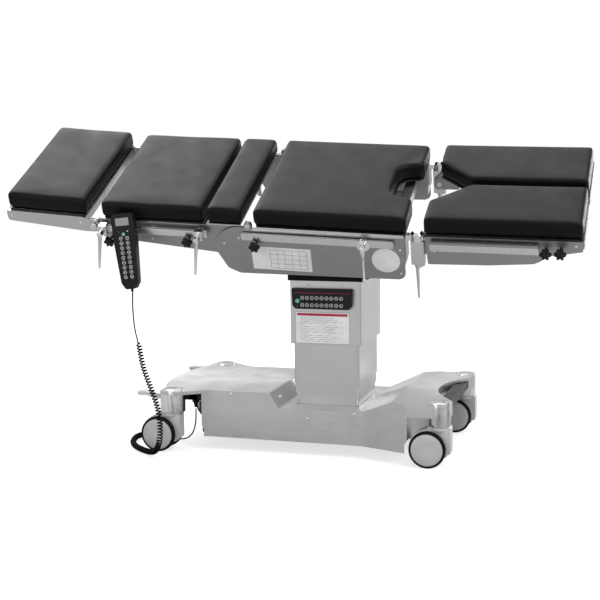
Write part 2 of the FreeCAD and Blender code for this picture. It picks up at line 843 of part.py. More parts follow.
def make_seat():
    """The seat frame, its board, cushion and rails, and the posts that carry the legs."""
    pieces = []
    bar_left = (size(-200), size(-160))
    bar_right = (size(150), size(190))
    bar_end = (size(235), size(270))
    for side in (-1, 1):
        name = "Near" if side < 0 else "Far"
        span = side_span(side, d.plate_inner, d.plate_outer)
        plate = seat_plate("SeatPlate" + name, span)
        pin = side_span(side, d.back_plate_inner - 3, d.plate_inner)
        pieces.append(plate)
        pieces.append(hinge_ear("HingeEar" + name, span))
        pieces.append(rod("HingePin" + name, "y", (d.hinge_x, d.hinge_z), d.pin_radius, pin))
        cheek_span = side_span(side, d.cheek_inner, d.cheek_outer)
        cheek = prism(
            "Cheek" + name,
            "XZ",
            [
                (-d.cheek_round, -d.cheek_round, d.cheek_round - 0.5),
                (d.cheek_round, -d.cheek_round, d.cheek_round - 0.5),
                (d.cheek_round, d.spine_low),
                (-d.cheek_round, d.spine_low),
            ],
            cheek_span,
        )
        bore = rod("CheekBore" + name, "y", (0, 0), d.axle_radius + 0.3, (cheek_span[0] - 1, cheek_span[1] + 1))
        pieces.append(cut("CheekBored" + name, cheek, bore))
        spine = (d.spine_low, d.spine_top)
        pieces.append(box("Spine" + name, (bar_left[1], bar_right[0]), cheek_span, spine))
        pieces.append(box("SpineEnd" + name, (bar_right[1], bar_end[0]), cheek_span, spine))
        end_plate = side_span(side, d.plate_inner - 48, d.plate_inner)
        end_span = (d.seat_right - 7, d.seat_right)
        pieces.append(box("SeatEnd" + name, end_span, end_plate, (10, d.plate_top - 12)))
        stiffener = side_span(side, d.plate_inner - 48, d.plate_inner - 40)
        pieces.append(box("SeatGusset" + name, (bar_end[1], end_span[0]), stiffener, spine))
    whole = (-d.plate_inner, d.plate_inner)
    pieces.append(box("CrossBarLeft", bar_left, whole, (d.spine_low, d.plate_top)))
    pieces.append(box("CrossBarRight", bar_right, whole, (d.spine_low, d.plate_top)))
    pieces.append(box("CrossBarEnd", bar_end, whole, (d.spine_low, d.spine_top)))
    node("seat_frame", group("SeatFrame", *pieces), TOP)

    board_top = d.plate_top + d.board_thick
    board_half = d.cushion_half - d.board_inset
    board_corners = notched(d.seat_cushion_left + 4, d.seat_cushion_right - 4, board_half, 12)
    node("seat_board", prism("SeatBoard", "XY", board_corners, (d.plate_top, board_top)), TOP)
    corners = notched(d.seat_cushion_left, d.seat_cushion_right, d.cushion_half, d.cushion_corner)
    node("seat_cushion", pad_body("SeatCushion", corners, board_top, d.cushion_thick), TOP)
    rail_x = (d.seat_rail_left, d.seat_rail_right)
    rails = make_rail("SeatRail", rail_x, d.plate_outer, (-1, 1), d.rail_low, d.rail_high)
    node("seat_rails", rails, TOP)

    posts = []
    for side in (-1, 1):
        name = "Near" if side < 0 else "Far"
        y = d.leg_hinge_y * side
        arm = side_span(side, d.leg_hinge_y - 10, d.leg_hinge_y + 10)
        arm_low = d.knuckle_top + 1
        arm_top = d.dome_top - 14
        shoulder = d.dome_top - 8
        foot_right = d.seat_right + 8
        posts.append(box("PostFoot" + name, (d.seat_right, foot_right), arm, (arm_low - 65, arm_top)))
        bridge = box("PostArm" + name, (foot_right, d.leg_hinge_x), arm, (arm_low, arm_top))
        inside = rod("PostArmEnd" + name, "z", (d.leg_hinge_x, y), d.dome_radius, (0, d.dome_top))
        posts.append(cut("PostArmCut" + name, bridge, inside))
        drum = rod("Dome" + name, "z", (d.leg_hinge_x, y), d.dome_radius, (arm_low, shoulder))
        radii = (d.dome_radius, d.dome_radius - 9)
        cap = taper("DomeCap" + name, "z", (d.leg_hinge_x, y), radii, (shoulder, d.dome_top))
        posts.append(fuse("DomeWhole" + name, drum, cap))
        posts.append(rod("Post" + name, "z", (d.leg_hinge_x, y), d.post_radius, (d.knuckle_low, arm_low)))
    node("leg_posts", group("LegPosts", *posts), TOP)


def make_back():
    """The back section, hinged in the gap beside the seat cushion."""
    pieces = []
    bar_holes = []
    bridge_x = (d.bridge_left + d.bridge_right) / 2
    ear_left = d.hinge_x - d.hinge_round
    ear_right = d.hinge_x + d.hinge_round
    ear_top = d.hinge_z + d.hinge_round
    round_ear = d.hinge_round - 0.5
    for side in (-1, 1):
        name = "Near" if side < 0 else "Far"
        span = side_span(side, d.back_plate_inner, d.back_plate_outer)
        plate = prism(
            "BackPlate" + name,
            "XZ",
            [
                (d.back_left, d.plate_top, 8),
                (d.back_left, 62, 20),
                (-770, d.back_low_left + 4, 15),
                (-659, d.back_low_left, 60),
                (-346, d.back_low_right, 40),
                (-275, 20, 20),
                (ear_right, d.hinge_z - 17, 8),
                (ear_right, ear_top, round_ear),
                (ear_left, ear_top, round_ear),
                (ear_left, d.plate_top),
            ],
            span,
        )
        lug = rod("HeadLug" + name, "y", (d.head_hinge_x, d.head_hinge_z), d.head_lug, span)
        wide = (span[0] - 1, span[1] + 1)
        bore = rod("BackBore" + name, "y", (d.hinge_x, d.hinge_z), d.pin_radius + 0.3, wide)
        pin = side_span(side, d.back_plate_outer, d.head_arm_outer + 3)
        pieces.append(rod("HeadPin" + name, "y", (d.head_hinge_x, d.head_hinge_z), d.pin_radius, pin))
        pieces.append(cut("BackPlateBored" + name, fuse("BackPlateLug" + name, plate, lug), bore))
        y = d.bridge_post_side * side
        sleeve = rod("Guide" + name, "z", (bridge_x, y), d.bridge_post + 6, (d.rail_low - 22, d.rail_low + 24))
        guide = rod("GuideBore" + name, "z", (bridge_x, y), d.bridge_post + 0.3, (0, d.plate_top))
        pieces.append(cut("GuideBored" + name, sleeve, guide))
        bar_holes.append(rod("GuideHole" + name, "z", (bridge_x, y), d.bridge_post + 6, (0, d.plate_top)))
    whole = (-d.back_plate_inner, d.back_plate_inner)
    pieces.append(box("BackBarLeft", (-770, -735), whole, (80, 110)))
    pieces.append(box("BackBarRight", (-440, -405), whole, (70, 110)))
    bar = box("BridgeBar", (bridge_x - 12, bridge_x + 12), whole, (d.rail_low - 16, d.rail_low + 16))
    pieces.append(cut("BridgeBarBored", bar, *bar_holes))
    node("back_frame", group("BackFrame", *pieces), TOP)
    board_top = d.plate_top + d.board_thick
    half = d.cushion_half - d.board_inset
    left = d.back_cushion_left
    right = d.back_cushion_right
    board = prism("BackBoard", "XY", rectangle((left + 3, right - 3), (-half, half), 12), (d.plate_top, board_top))
    node("back_board", board, TOP)
    corners = rectangle((left, right), (-d.cushion_half, d.cushion_half), d.cushion_corner)
    node("back_cushion", pad_body("BackCushion", corners, board_top, d.cushion_thick), TOP)
    rail_x = (d.back_rail_left, d.back_rail_right)
    rails = make_rail("BackRail", rail_x, d.back_plate_outer, (-1, 1), d.rail_low, d.rail_high)
    node("back_rails", rails, TOP)


def make_bridge():
    """The kidney bridge: a round-edged bolster on two guide posts."""
    bridge_x = (d.bridge_left + d.bridge_right) / 2
    board_top = d.plate_top + d.board_thick
    half = d.cushion_half - d.board_inset
    plate = box("BridgePlate", (d.bridge_left + 4, d.bridge_right - 6), (-half, half), (d.plate_top, board_top))
    posts = [
        rod("BridgePost" + name, "z", (bridge_x, d.bridge_post_side * side), d.bridge_post, (d.bridge_post_low, d.plate_top))
        for name, side in (("Near", -1), ("Far", 1))
    ]
    node("bridge_frame", group("BridgeFrame", plate, *posts), TOP)
    top = board_top + d.cushion_thick
    bolster = prism(
        "BridgeCushion",
        "XZ",
        [
            (d.bridge_left, board_top, 3),
            (d.bridge_right, board_top, 8),
            (d.bridge_right, top, d.bridge_round),
            (d.bridge_left, top, 12),
        ],
        (-d.cushion_half, d.cushion_half),
    )
    node("bridge_cushion", bolster, TOP)


def make_head():
    """The head section on its own hinge at the end of the back."""
    pieces = []
    for side in (-1, 1):
        name = "Near" if side < 0 else "Far"
        span = side_span(side, d.head_arm_inner, d.head_arm_outer)
        arm = prism(
            "HeadArm" + name,
            "XZ",
            [
                (d.head_left, d.head_plate_top, 6),
                (d.head_left, d.head_low_left, 12),
                (d.head_hinge_x - 30, d.head_low_right, 25),
                (d.head_hinge_x + 22, d.head_hinge_z - 24, 20),
                (d.head_hinge_x + 22, d.head_hinge_z + 22, 20),
                (d.head_hinge_x - 24, d.head_plate_top - 4, 4),
                (d.head_hinge_x - 40, d.head_plate_top),
            ],
            span,
        )
        wide = (span[0] - 1, span[1] + 1)
        bore = rod("ArmBore" + name, "y", (d.head_hinge_x, d.head_hinge_z), d.pin_radius + 0.3, wide)
        pieces.append(cut("HeadArmBored" + name, arm, bore))
    whole = (-d.head_arm_inner, d.head_arm_inner)
    pieces.append(box("HeadBarLeft", (d.head_left + 8, d.head_left + 30), whole, (98, 129)))
    pieces.append(box("HeadBarRight", (d.head_cushion_right - 24, d.head_cushion_right - 6), whole, (98, 129)))
    half = d.cushion_half - d.board_inset
    board_top = d.head_plate_top + d.board_thick + 2
    left = d.head_cushion_left
    right = d.head_cushion_right
    board = prism(
        "HeadBoard", "XY", rectangle((left + 3, right - 3), (-half, half), 12), (d.head_plate_top, board_top)
    )
    node("head_frame", group("HeadFrame", *pieces, board), HEAD)
    corners = rectangle((left, right), (-d.cushion_half, d.cushion_half), d.cushion_corner)
    node("head_cushion", pad_body("HeadCushion", corners, board_top, d.cushion_thick), HEAD)


def make_leg(side):
    """One leg section: a knuckle that swings out, and a leaf that folds down from it."""
    name = "Near" if side < 0 else "Far"
    tag = name.lower()
    y = d.leg_hinge_y * side
    block = box(
        "Knuckle" + name,
        (d.leg_hinge_x - d.knuckle_half, d.leg_hinge_x + d.knuckle_half),
        side_span(side, d.leg_hinge_y - d.knuckle_side, d.leg_plate_inner - 0.5),
        (d.knuckle_low, d.knuckle_top),
    )
    bore = rod("KnuckleBore" + name, "z", (d.leg_hinge_x, y), d.post_radius + 0.3, (0, d.knuckle_top + 1))
    floor = rod("KnuckleCap" + name, "z", (d.leg_hinge_x, y), 13, (d.knuckle_low - 14, d.knuckle_low - 0.5))
    lever_reach = (d.knuckle_low - 14 - d.lever_long * 0.7, d.knuckle_low - 13)
    radii = (d.lever_thin, d.lever_thick)
    lever = taper("KnuckleLever" + name, "z", (d.leg_hinge_x - 4, y), radii, lever_reach)
    stub = side_span(side, d.leg_hinge_y - d.knuckle_side - 9, d.leg_hinge_y - d.knuckle_side)
    stub_rod = rod("KnuckleStub" + name, "y", (d.leg_hinge_x, d.leg_hinge_z), 9, stub)
    skirt = box(
        "KnuckleSkirt" + name,
        (d.leg_hinge_x + 8, d.leg_hinge_x + d.knuckle_half),
        side_span(side, d.leg_hinge_y - 12, d.leg_hinge_y + 12),
        (d.knuckle_low - 5, d.knuckle_low),
    )
    knuckle = fuse("KnuckleWhole" + name, cut("KnuckleBored" + name, block, bore), floor, lever, stub_rod, skirt)
    node("leg_knuckle_" + tag, knuckle, TOP)

    plate = prism(
        "LegPlate" + name,
        "XZ",
        [
            (d.leg_plate_left, 22, 6),
            (578, 27, 200),
            (724, 39, 20),
            (746, 50, 10),
            (765, 70, 12),
            (d.leg_plate_right - 4, 93, 3),
            (d.leg_plate_right, d.leg_plate_top, 2),
            (d.leg_plate_left - 4, d.leg_plate_top, 4),
        ],
        side_span(side, d.leg_plate_inner, d.leg_plate_outer),
    )
    stub_end = d.leg_hinge_y - d.knuckle_side - 1
    lug_span = side_span(side, stub_end - 8, stub_end)
    lug_plate = prism(
        "LegLug" + name,
        "XZ",
        [
            (d.leg_hinge_x - 18, d.leg_hinge_z - 18, 17.5),
            (d.leg_plate_left + 40, d.leg_hinge_z - 18, 10),
            (d.leg_plate_left + 40, d.leg_plate_top, 2),
            (d.leg_plate_left + 4, d.leg_plate_top, 2),
            (d.leg_hinge_x - 18, d.leg_hinge_z + 18, 17.5),
        ],
        lug_span,
    )
    lug_bore = rod("LegLugBore" + name, "y", (d.leg_hinge_x, d.leg_hinge_z), 9.3, (lug_span[0] - 1, lug_span[1] + 1))
    lug = cut("LegLugBored" + name, lug_plate, lug_bore)
    bar_x = (d.leg_plate_left + 19, d.leg_plate_left + 39)
    bar_z = (d.leg_plate_top - 31, d.leg_plate_top)
    rib = side_span(side, d.leg_diagonal_y + 5, d.leg_diagonal_y + 17)
    inner_bar = side_span(side, d.leg_diagonal_y + 17, stub_end - 8)
    outer_bar = side_span(side, stub_end, d.leg_plate_inner)
    end_bar = side_span(side, d.leg_cushion_gap + 4, d.leg_plate_inner)
    end_x = (d.leg_plate_right - 8, d.leg_plate_right)
    frame = [
        plate,
        lug,
        box("LegBarInner" + name, bar_x, inner_bar, bar_z),
        box("LegBarOuter" + name, bar_x, outer_bar, bar_z),
        box("LegBarRight" + name, end_x, end_bar, bar_z),
        box("LegRib" + name, (bar_x[0], end_x[0]), rib, bar_z),
    ]

    def leaf(inset, radius):
        near_y = d.cushion_half - inset
        gap = d.leg_cushion_gap + inset
        left = d.leg_cushion_left + inset
        corners = [
            (left, -near_y, radius),
            (d.leg_plate_right - 2, -near_y, radius),
            (d.leg_plate_right - 2, -gap, radius * 0.5),
            (d.leg_diagonal_x + inset, -gap, radius * 0.5),
            (left, -d.leg_diagonal_y, radius),
        ]
        if side > 0:
            corners = [(x, -y, r) for x, y, r in reversed(corners)]
        return corners

    board_top = d.leg_plate_top + d.board_thick
    board = prism("LegBoard" + name, "XY", leaf(d.board_inset + 2, size(10)), (d.leg_plate_top, board_top))
    cushion = pad_body("LegCushion" + name, leaf(size(0), d.cushion_corner), board_top, d.cushion_thick)
    node("leg_cushion_" + tag, cushion, LEGS)
    rail_low = d.rail_low + 10
    rail_high = d.rail_high + 9
    rail_x = (d.leg_rail_left, d.leg_rail_right)
    rail = make_rail("LegRail" + name, rail_x, d.leg_plate_outer, (side,), rail_low, rail_high)
    node("leg_frame_" + tag, group("LegFrame" + name, *frame, board, rail), LEGS)


def star_knob(name, side, x, z, start):
    """A six-lobed clamp knob on its stem."""
    grip = (d.knob_start, d.knob_start + d.knob_thick)
    pieces = [rod(name + "Core", "y", (x, z), d.knob_radius, side_span(side, *grip))]
    for n in range(6):
        angle = math.radians(60 * n)
        place = (x + d.knob_radius * math.cos(angle), z + d.knob_radius * math.sin(angle))
        pieces.append(rod(f"{name}Lobe{n}", "y", place, d.knob_lobe, side_span(side, *grip)))
    pieces.append(rod(name + "Stem", "y", (x, z), d.knob_stem, side_span(side, start, d.knob_start)))
    return fuse(name, *pieces)


def hanging_lever(name, x, z):
    """A clamp lever that hangs plumb from its screw, so it leans out from the tilted rail."""
    boss = rod(name + "Boss", "y", (x, z), 10, (-d.clamp_front - 30, -d.clamp_front - 0.4))
    grip = doc.addObject("Part::Cone", name + "Grip")
    grip.Placement = Placement(Vector(), Rotation(Vector(1, 0, 0), 180 - d.side_tilt.value))
    bind(grip, "Radius1", d.lever_thick)
    bind(grip, "Radius2", d.lever_thin)
    bind(grip, "Height", d.clamp_lever_long)
    put(grip, x, -d.clamp_front - 22, z)
    return fuse(name, boss, grip)


def make_fittings():
    """Knobs and clamps along the near side."""
    clear = 0.4
    gap = d.plate_outer + clear
    node("seat_knob", star_knob("SeatKnob", -1, size(-214), size(71), gap), TOP)
    node("back_knob", star_knob("BackKnob", -1, size(-457), size(74), d.back_plate_outer + clear), TOP)
    node("head_knob", star_knob("HeadKnob", -1, size(-749), size(57), d.back_plate_outer + clear), TOP)
    for side, tag in ((-1, "near"), (1, "far")):
        inner = star_knob("LegKnobA" + tag, side, size(765), size(101), d.leg_plate_outer + clear)
        outer = star_knob("LegKnobB" + tag, side, size(812), size(103), d.leg_plate_outer + clear)
        node("leg_knob_inner_" + tag, inner, LEGS)
        node("leg_knob_outer_" + tag, outer, LEGS)
    clamps = []
    for n, x in enumerate((-412, -768)):
        block = box(f"ClampBlock{n}", (x - d.clamp_half, x + d.clamp_half), (-d.clamp_front, -259.5), (82, 119))
        slot = box(
            f"ClampSlot{n}",
            (x - 30, x + 30),
            (-d.rail_outer - 0.3, -d.rail_inner + 0.3),
            (d.rail_low - 0.3, d.rail_high + 0.3),
        )
        mouth = box(f"ClampMouth{n}", (x - 30, x + 30), (-d.rail_inner - 1, -255), (d.rail_low + 3, d.rail_high - 3))
        clamps.append(cut(f"Clamp{n}", block, slot, mouth))
        tag = ("bridge", "head")[n]
        node(f"{tag}_clamp_lever", hanging_lever(f"ClampLever{n}", size(x), size(100)), TOP)
    node("rail_clamps", group("RailClamps", *clamps), TOP)
    ring_span = (-d.rail_outer - 16, -d.rail_outer - 0.3)
    ring = rod("RingBody", "y", (166, 100), d.ring_radius, ring_span)
    socket = rod("RingSocket", "y", (166, 100), 8, (-d.rail_outer - 20, -d.rail_outer - 8))
    node("ring_clamp", cut("RingClamp", ring, socket), TOP)
    boss = rod("RodBoss", "y", (166, 100), 7.5, (-d.rail_outer - 30, -d.rail_outer - 8.4))
    bar = rod("RodBar", "z", (166, -d.rail_outer - 25), 3.5, (-30, 100))
    ball = rod("RodBall", "z", (166, -d.rail_outer - 25), 7, (-37, -23))
    node("ring_clamp_rod", fuse("RingRod", boss, bar, ball), TOP)


def make_handset():
    """The hand control and the hook that hangs it on the rail."""
    half = d.handset_wide / 2
    long = d.handset_long / 2
    thick = d.handset_thick / 2
    shell = prism(
        "HandsetBody",
        "XZ",
        [
            (-half, long, 14),
            (-half, size(40), 60),
            (-half + 10, -long + 22, 14),
            (-half + 24, -long, 10),
            (half - 24, -long, 10),
            (half - 10, -long + 22, 14),
            (half, size(40), 60),
            (half, long, 14),
        ],
        (-thick, thick),
    )
    key_place = (-1, 60)
    bore = rod("HandsetBore", "y", key_place, 6.4, (-thick - 5, -thick + 5))
    relief = taper("HandsetRelief", "z", (0, 0), (3.5, 6), (-long - 12, -long + 2))
    body = cut("HandsetShell", fuse("HandsetWhole", shell, relief), bore)
    lean = Rotation(Vector(0, 1, 0), d.handset_lean.value)
    place = Placement(Vector(d.handset_x.value, d.handset_y.value, d.handset_z.value), lean)
    body.Placement = place
    node("handset_key", rod("HandsetKey", "y", key_place, 6, (-thick - d.key_proud, -thick + 3)), place)
    x = (-690, -660)
    face = box("HookFace", x, (-d.rail_outer - 3, -d.rail_outer - 0.5), (84, 163))
    crown = box("HookCrown", x, (-d.rail_outer - 3, -d.rail_inner + 3), (d.rail_high + 1, d.rail_high + 4))
    lip = box("HookLip", x, (-d.rail_inner + 0.5, -d.rail_inner + 3), (103, d.rail_high + 4))
    hook = fuse("HandsetHook", face, crown, lip)
    hook.Placement = TOP
    node("handset_shell", fuse("HandsetAndHook", body, hook))


def arc_route(points):
    """Straight runs joined by tangent arcs, each as large as its two runs allow."""
    edges = []
    radii = []
    start = points[0]
    for i in range(1, len(points) - 1):
        here = points[i]
        before = here - points[i - 1]
        after = points[i + 1] - here
        turn = before.getAngle(after)
        radius = 0.45 * min(before.Length, after.Length) / math.tan(turn / 2)
        reach = radius * math.tan(turn / 2)
        entry = here - before.normalize() * reach
        leave = here + after.normalize() * reach
        inward = (leave - here) + (entry - here)
        middle_point = here + inward.normalize() * (radius / math.cos(turn / 2) - radius)
        edges.append(Part.LineSegment(start, entry).toShape())
        edges.append(Part.Arc(entry, middle_point, leave).toShape())
        radii.append(radius)
        start = leave
    edges.append(Part.LineSegment(start, points[-1]).toShape())
    return Part.Wire(edges), radii


def tube_along(wire, radius):
    """A round tube along a route."""
    first = wire.Edges[0]
    start = first.valueAt(first.FirstParameter)
    direction = first.tangentAt(first.FirstParameter)
    ring = Part.Wire(Part.Edge(Part.Circle(start, direction, radius)))
    return wire.makePipeShell([ring], True, False)


CORD_LEAD = [
    (-647.3, -331, 569), (-647.5, -333.5, 530), (-643, -340, 486), (-634.5, -349.5, 440), (-622, -357, 404),
]
CORD_COIL = [
    (-622, -357, 404), (-612, -362, 378), (-599, -373, 322), (-572, -384, 262), (-546, -392, 206),
    (-531, -398, 160), (-525, -402, 112), (-527, -405, 62), (-545, -397, 23), (-579, -372, 9.5),
    (-622, -343, 9), (-665, -303, 9), (-699, -251, 9), (-716, -200, 9), (-722, -160, 9),
    (-712, -124, 9), (-684, -106, 9), (-650, -106, 9),
]
CORD_TAIL = [
    (-650, -106, 9), (-618, -116, 5), (-586, -130, 4), (-556, -141, 5), (-527, -147, 12), (-505, -151, 32),
    (-494, -152, 62), (-490, -152, 96), (-490, -152, 130.7),
]


def make_cord():
    """The handset's cord: a straight lead, a curly stretch and a lead back into the base."""
    shapes = []
    for name, route, radius in (
        ("lead", CORD_LEAD, d.cord_radius.value),
        ("coil", CORD_COIL, d.coil_radius.value),
        ("tail", CORD_TAIL, d.cord_radius.value),
    ):
        wire, radii = arc_route([Vector(*p) for p in route])
        solid = tube_along(wire, radius)
        wanted = math.pi * radius**2 * wire.Length
        print(name, "radii", [round(r) for r in radii], "length", round(wire.Length))
        print(name, "volume over section times length", round(solid.Volume / wanted, 4))
        shapes.append(solid)
    cord = doc.addObject("Part::Feature", "HandsetCord")
    cord.Shape = Part.makeCompound(shapes)
    node("handset_cord", cord)


def make_casters():
    """Four twin-wheel swivel casters, trailing to the head end."""
    for name, (x, y) in CASTERS.items():
        axle_x = x - d.caster_trail
        side = (y - d.hood_half, y + d.hood_half)
        hood_disc = rod("HoodDisc_" + name, "y", (axle_x, d.wheel_radius), d.hood_round, side)
        hood_top = d.boss_foot - d.running_gap
        hood_block = prism(
            "HoodBlock_" + name,
            "XZ",
            [
                (axle_x, 45, 4),
                (x + d.hood_front, 45, 6),
                (x + d.hood_front, hood_top, 8),
                (x - 30, hood_top, 4),
                (axle_x - 30, 110, 20),
            ],
            side,
        )
        collar = rod("HoodCollar_" + name, "z", (x, y), 33, (126.5, hood_top))
        stem = rod("Stem_" + name, "z", (x, y), d.boss_bore - 0.3, (118, d.deck_lip - 10))
        low = box("HoodLow_" + name, (axle_x - 90, axle_x + 120), (y - 60, y + 60), (-20, 34))
        axle_hole = rod("AxleHole_" + name, "y", (axle_x, d.wheel_radius), 8.3, (y - 40, y + 40))
        whole = fuse("HoodWhole_" + name, hood_disc, hood_block, collar, stem)
        node("caster_fork_" + name, cut("Hood_" + name, whole, low, axle_hole))
        wheels = []
        for n, span in enumerate(
            (
                (y - d.wheel_inner - d.wheel_width, y - d.wheel_inner),
                (y + d.wheel_inner, y + d.wheel_inner + d.wheel_width),
            )
        ):
            wheels.append(rod(f"Wheel_{name}{n}", "y", (axle_x, d.wheel_radius), d.wheel_radius, span))
        axle_span = (y - d.wheel_inner - 5, y + d.wheel_inner + 5)
        wheels.append(rod("Axle_" + name, "y", (axle_x, d.wheel_radius), 8, axle_span))
        node("caster_wheels_" + name, fuse("Wheels_" + name, *wheels))


def make_pedals():
    """The brake pedals on their common shaft at the head end."""
    shaft = rod("PedalShaft", "y", (d.shaft_x, d.shaft_z), d.shaft_radius, (-256, 256))
    pieces = [shaft]
    for side, name in ((-1, "Near"), (1, "Far")):
        arm = side_span(side, 244, 256)
        top = d.paddle_top
        pieces.append(
            prism(
                "PedalArm" + name,
                "XZ",
                [
                    (d.shaft_x + 9, d.shaft_z - 9, 8),
                    (d.shaft_x + 9, d.shaft_z + 9, 8),
                    (d.paddle_reach + 40, top - 2, 3),
                    (d.paddle_reach + 20, top - d.paddle_thick, 3),
                ],
                arm,
            )
        )
        plan = rectangle(
            (d.paddle_reach, d.paddle_reach + 58), side_span(side, d.paddle_near, d.paddle_far), size(14)
        )
        pieces.append(prism("Paddle" + name, "XY", plan, (top - d.paddle_thick, top)))
    node("brake_pedals", fuse("BrakePedals", *pieces))


make_base()
make_column()
make_tilt_cross()
make_seat()
make_back()
make_bridge()
make_head()
for leg_side in (-1, 1):
    make_leg(leg_side)
make_fittings()
make_handset()
make_cord()
make_casters()
make_pedals()
doc.recompute()

failed = [item.Name for item in doc.Objects if {"Invalid", "Error"} & set(item.State)]
if failed:
    raise SystemExit(f"objects that failed: {failed}")
for item in nodes:
    if item.Shape.isNull() or not item.Shape.isValid():
        raise SystemExit(f"bad shape: {item.Label}")
os.makedirs("parts", exist_ok=True)
for item in nodes:
    item.Shape.exportStep(f"parts/{item.Label}.step")
print(len(nodes), "nodes written")
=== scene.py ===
# %% [markdown]
# # An operating table, dressed for its picture
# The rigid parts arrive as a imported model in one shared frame: metres, +Z up, the origin on the floor
# under the column. This lesson keeps them where they are, gives them their finishes, and adds what a
# solid modeller leaves plain: padded upholstery, a curly cord, printed keys, tyres and labels.

import math

import bmesh
import bpy
import numpy as np
from mathutils import Matrix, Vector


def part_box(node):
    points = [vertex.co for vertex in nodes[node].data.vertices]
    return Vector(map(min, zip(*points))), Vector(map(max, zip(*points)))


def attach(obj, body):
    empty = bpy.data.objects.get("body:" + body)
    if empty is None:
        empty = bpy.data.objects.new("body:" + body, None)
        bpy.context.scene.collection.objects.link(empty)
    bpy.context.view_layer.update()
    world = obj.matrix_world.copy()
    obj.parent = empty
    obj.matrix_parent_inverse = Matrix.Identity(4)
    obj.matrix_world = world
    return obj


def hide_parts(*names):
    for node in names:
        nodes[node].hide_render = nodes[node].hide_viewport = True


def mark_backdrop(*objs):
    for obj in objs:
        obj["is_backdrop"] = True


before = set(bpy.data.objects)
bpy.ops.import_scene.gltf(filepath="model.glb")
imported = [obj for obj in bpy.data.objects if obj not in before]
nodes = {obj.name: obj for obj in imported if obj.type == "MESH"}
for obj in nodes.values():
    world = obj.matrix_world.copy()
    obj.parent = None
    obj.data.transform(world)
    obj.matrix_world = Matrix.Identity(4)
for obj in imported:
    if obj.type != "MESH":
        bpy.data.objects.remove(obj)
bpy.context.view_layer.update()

# %% [markdown]
# The photograph was taken from a little above the pads, left of the column, with a long lens. The camera
# comes first, because every other choice is judged through it.

# %% Camera
CAMERA_PLACE = (1.1755, -4.3724, 1.1037)
CAMERA_YAW = math.radians(16.70)
CAMERA_PITCH = math.radians(7.37)
CAMERA_ROLL = math.radians(-0.64)
FOCAL_PIXELS = 1267.4
PICTURE_PIXELS = 600
SENSOR_MM = 36.0


def camera_axes(yaw, pitch, roll):
    """Right, up and back of a camera along +Y, turned left by yaw, down by pitch, then rolled."""
    level = math.cos(pitch)
    ahead = np.array([-math.sin(yaw) * level, math.cos(yaw) * level, -math.sin(pitch)])
    right = np.cross(ahead, [0.0, 0.0, 1.0])
    right /= np.linalg.norm(right)
    up = np.cross(right, ahead)
    rolled_right = math.cos(roll) * right + math.sin(roll) * up
    rolled_up = -math.sin(roll) * right + math.cos(roll) * up
    return rolled_right, rolled_up, -ahead


camera_data = bpy.data.cameras.new("studio_camera")
camera_data.sensor_width = SENSOR_MM
camera_data.lens = FOCAL_PIXELS / PICTURE_PIXELS * SENSOR_MM
camera = bpy.data.objects.new("studio_camera", camera_data)
bpy.context.collection.objects.link(camera)
turn = np.eye(4)
turn[:3, :3] = np.column_stack(camera_axes(CAMERA_YAW, CAMERA_PITCH, CAMERA_ROLL))
turn[:3, 3] = CAMERA_PLACE
camera.matrix_world = Matrix(turn.tolist())
bpy.context.scene.camera = camera
print("lens", round(camera_data.lens, 2), "mm")

# %% [markdown]
# The top leans to the near side and a little down to the leg end. Pieces on it are easier to work out
# level, so this cell keeps the turn from the level top to its resting place.

# %% The tilted top
PIVOT_HEIGHT = 0.7956
SIDE_TILT = math.radians(28.8)
END_TILT = math.radians(3.1)
HEAD_HINGE = (-0.812, 0.100)
HEAD_LIFT = math.radians(2.25)
LEG_HINGE = (0.341, 0.052)
LEG_DROP = math.radians(-1.5)


def turn_about_x(angle):
    c, s = math.cos(angle), math.sin(angle)
    return np.array([[1, 0, 0], [0, c, -s], [0, s, c]])


def turn_about_y(angle):
    c, s = math.cos(angle), math.sin(angle)
    return np.array([[c, 0, s], [0, 1, 0], [-s, 0, c]])


TOP_TURN = turn_about_x(SIDE_TILT) @ turn_about_y(END_TILT)


def on_top(points):
    """Level points of the top, turned about the crossing of the tilt axles to their resting place."""
    return np.asarray(points, float) @ TOP_TURN.T + [0, 0, PIVOT_HEIGHT]


def hinged(points, hinge, angle):
    """Points turned about a line along Y through (x, z) = hinge."""
    centre = np.array([hinge[0], 0, hinge[1]])
    return (np.asarray(points, float) - centre) @ turn_about_y(angle).T + centre


def on_head(points):
    """Level points of the head section at rest."""
    return on_top(hinged(points, HEAD_HINGE, HEAD_LIFT))


def on_leg(points):
    """Level points of a leg section at rest."""
    return on_top(hinged(points, LEG_HINGE, LEG_DROP))


def as_is(points):
    """Points already in the row frame."""
    return np.asarray(points, float)


print("a point over the column", on_top([[0, 0, 0.2]]).round(3))

# %% [markdown]
# Every new piece is one mesh made from whole arrays. `make_piece` puts the arrays into Blender, closes
# seams and poles, lets the piece ride on its body and smooths it by angle.

# %% Arrays into pieces


def make_piece(name, points, faces, body, finish, smooth=35, merge=1e-5):
    """A mesh object from points and faces, riding on a body, with one material."""
    mesh = bpy.data.meshes.new(name)
    mesh.from_pydata([tuple(p) for p in np.asarray(points, float).reshape(-1, 3)], [], faces)
    work = bmesh.new()
    work.from_mesh(mesh)
    bmesh.ops.remove_doubles(work, verts=work.verts, dist=merge)
    bmesh.ops.recalc_face_normals(work, faces=work.faces)
    work.to_mesh(mesh)
    work.free()
    piece = bpy.data.objects.new(name, mesh)
    bpy.context.collection.objects.link(piece)
    if finish is not None:
        mesh.materials.append(finish)
    if smooth:
        mesh.shade_smooth()
        mesh.set_sharp_from_angle(angle=math.radians(smooth))
    if body is not None:
        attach(piece, body)
    return piece


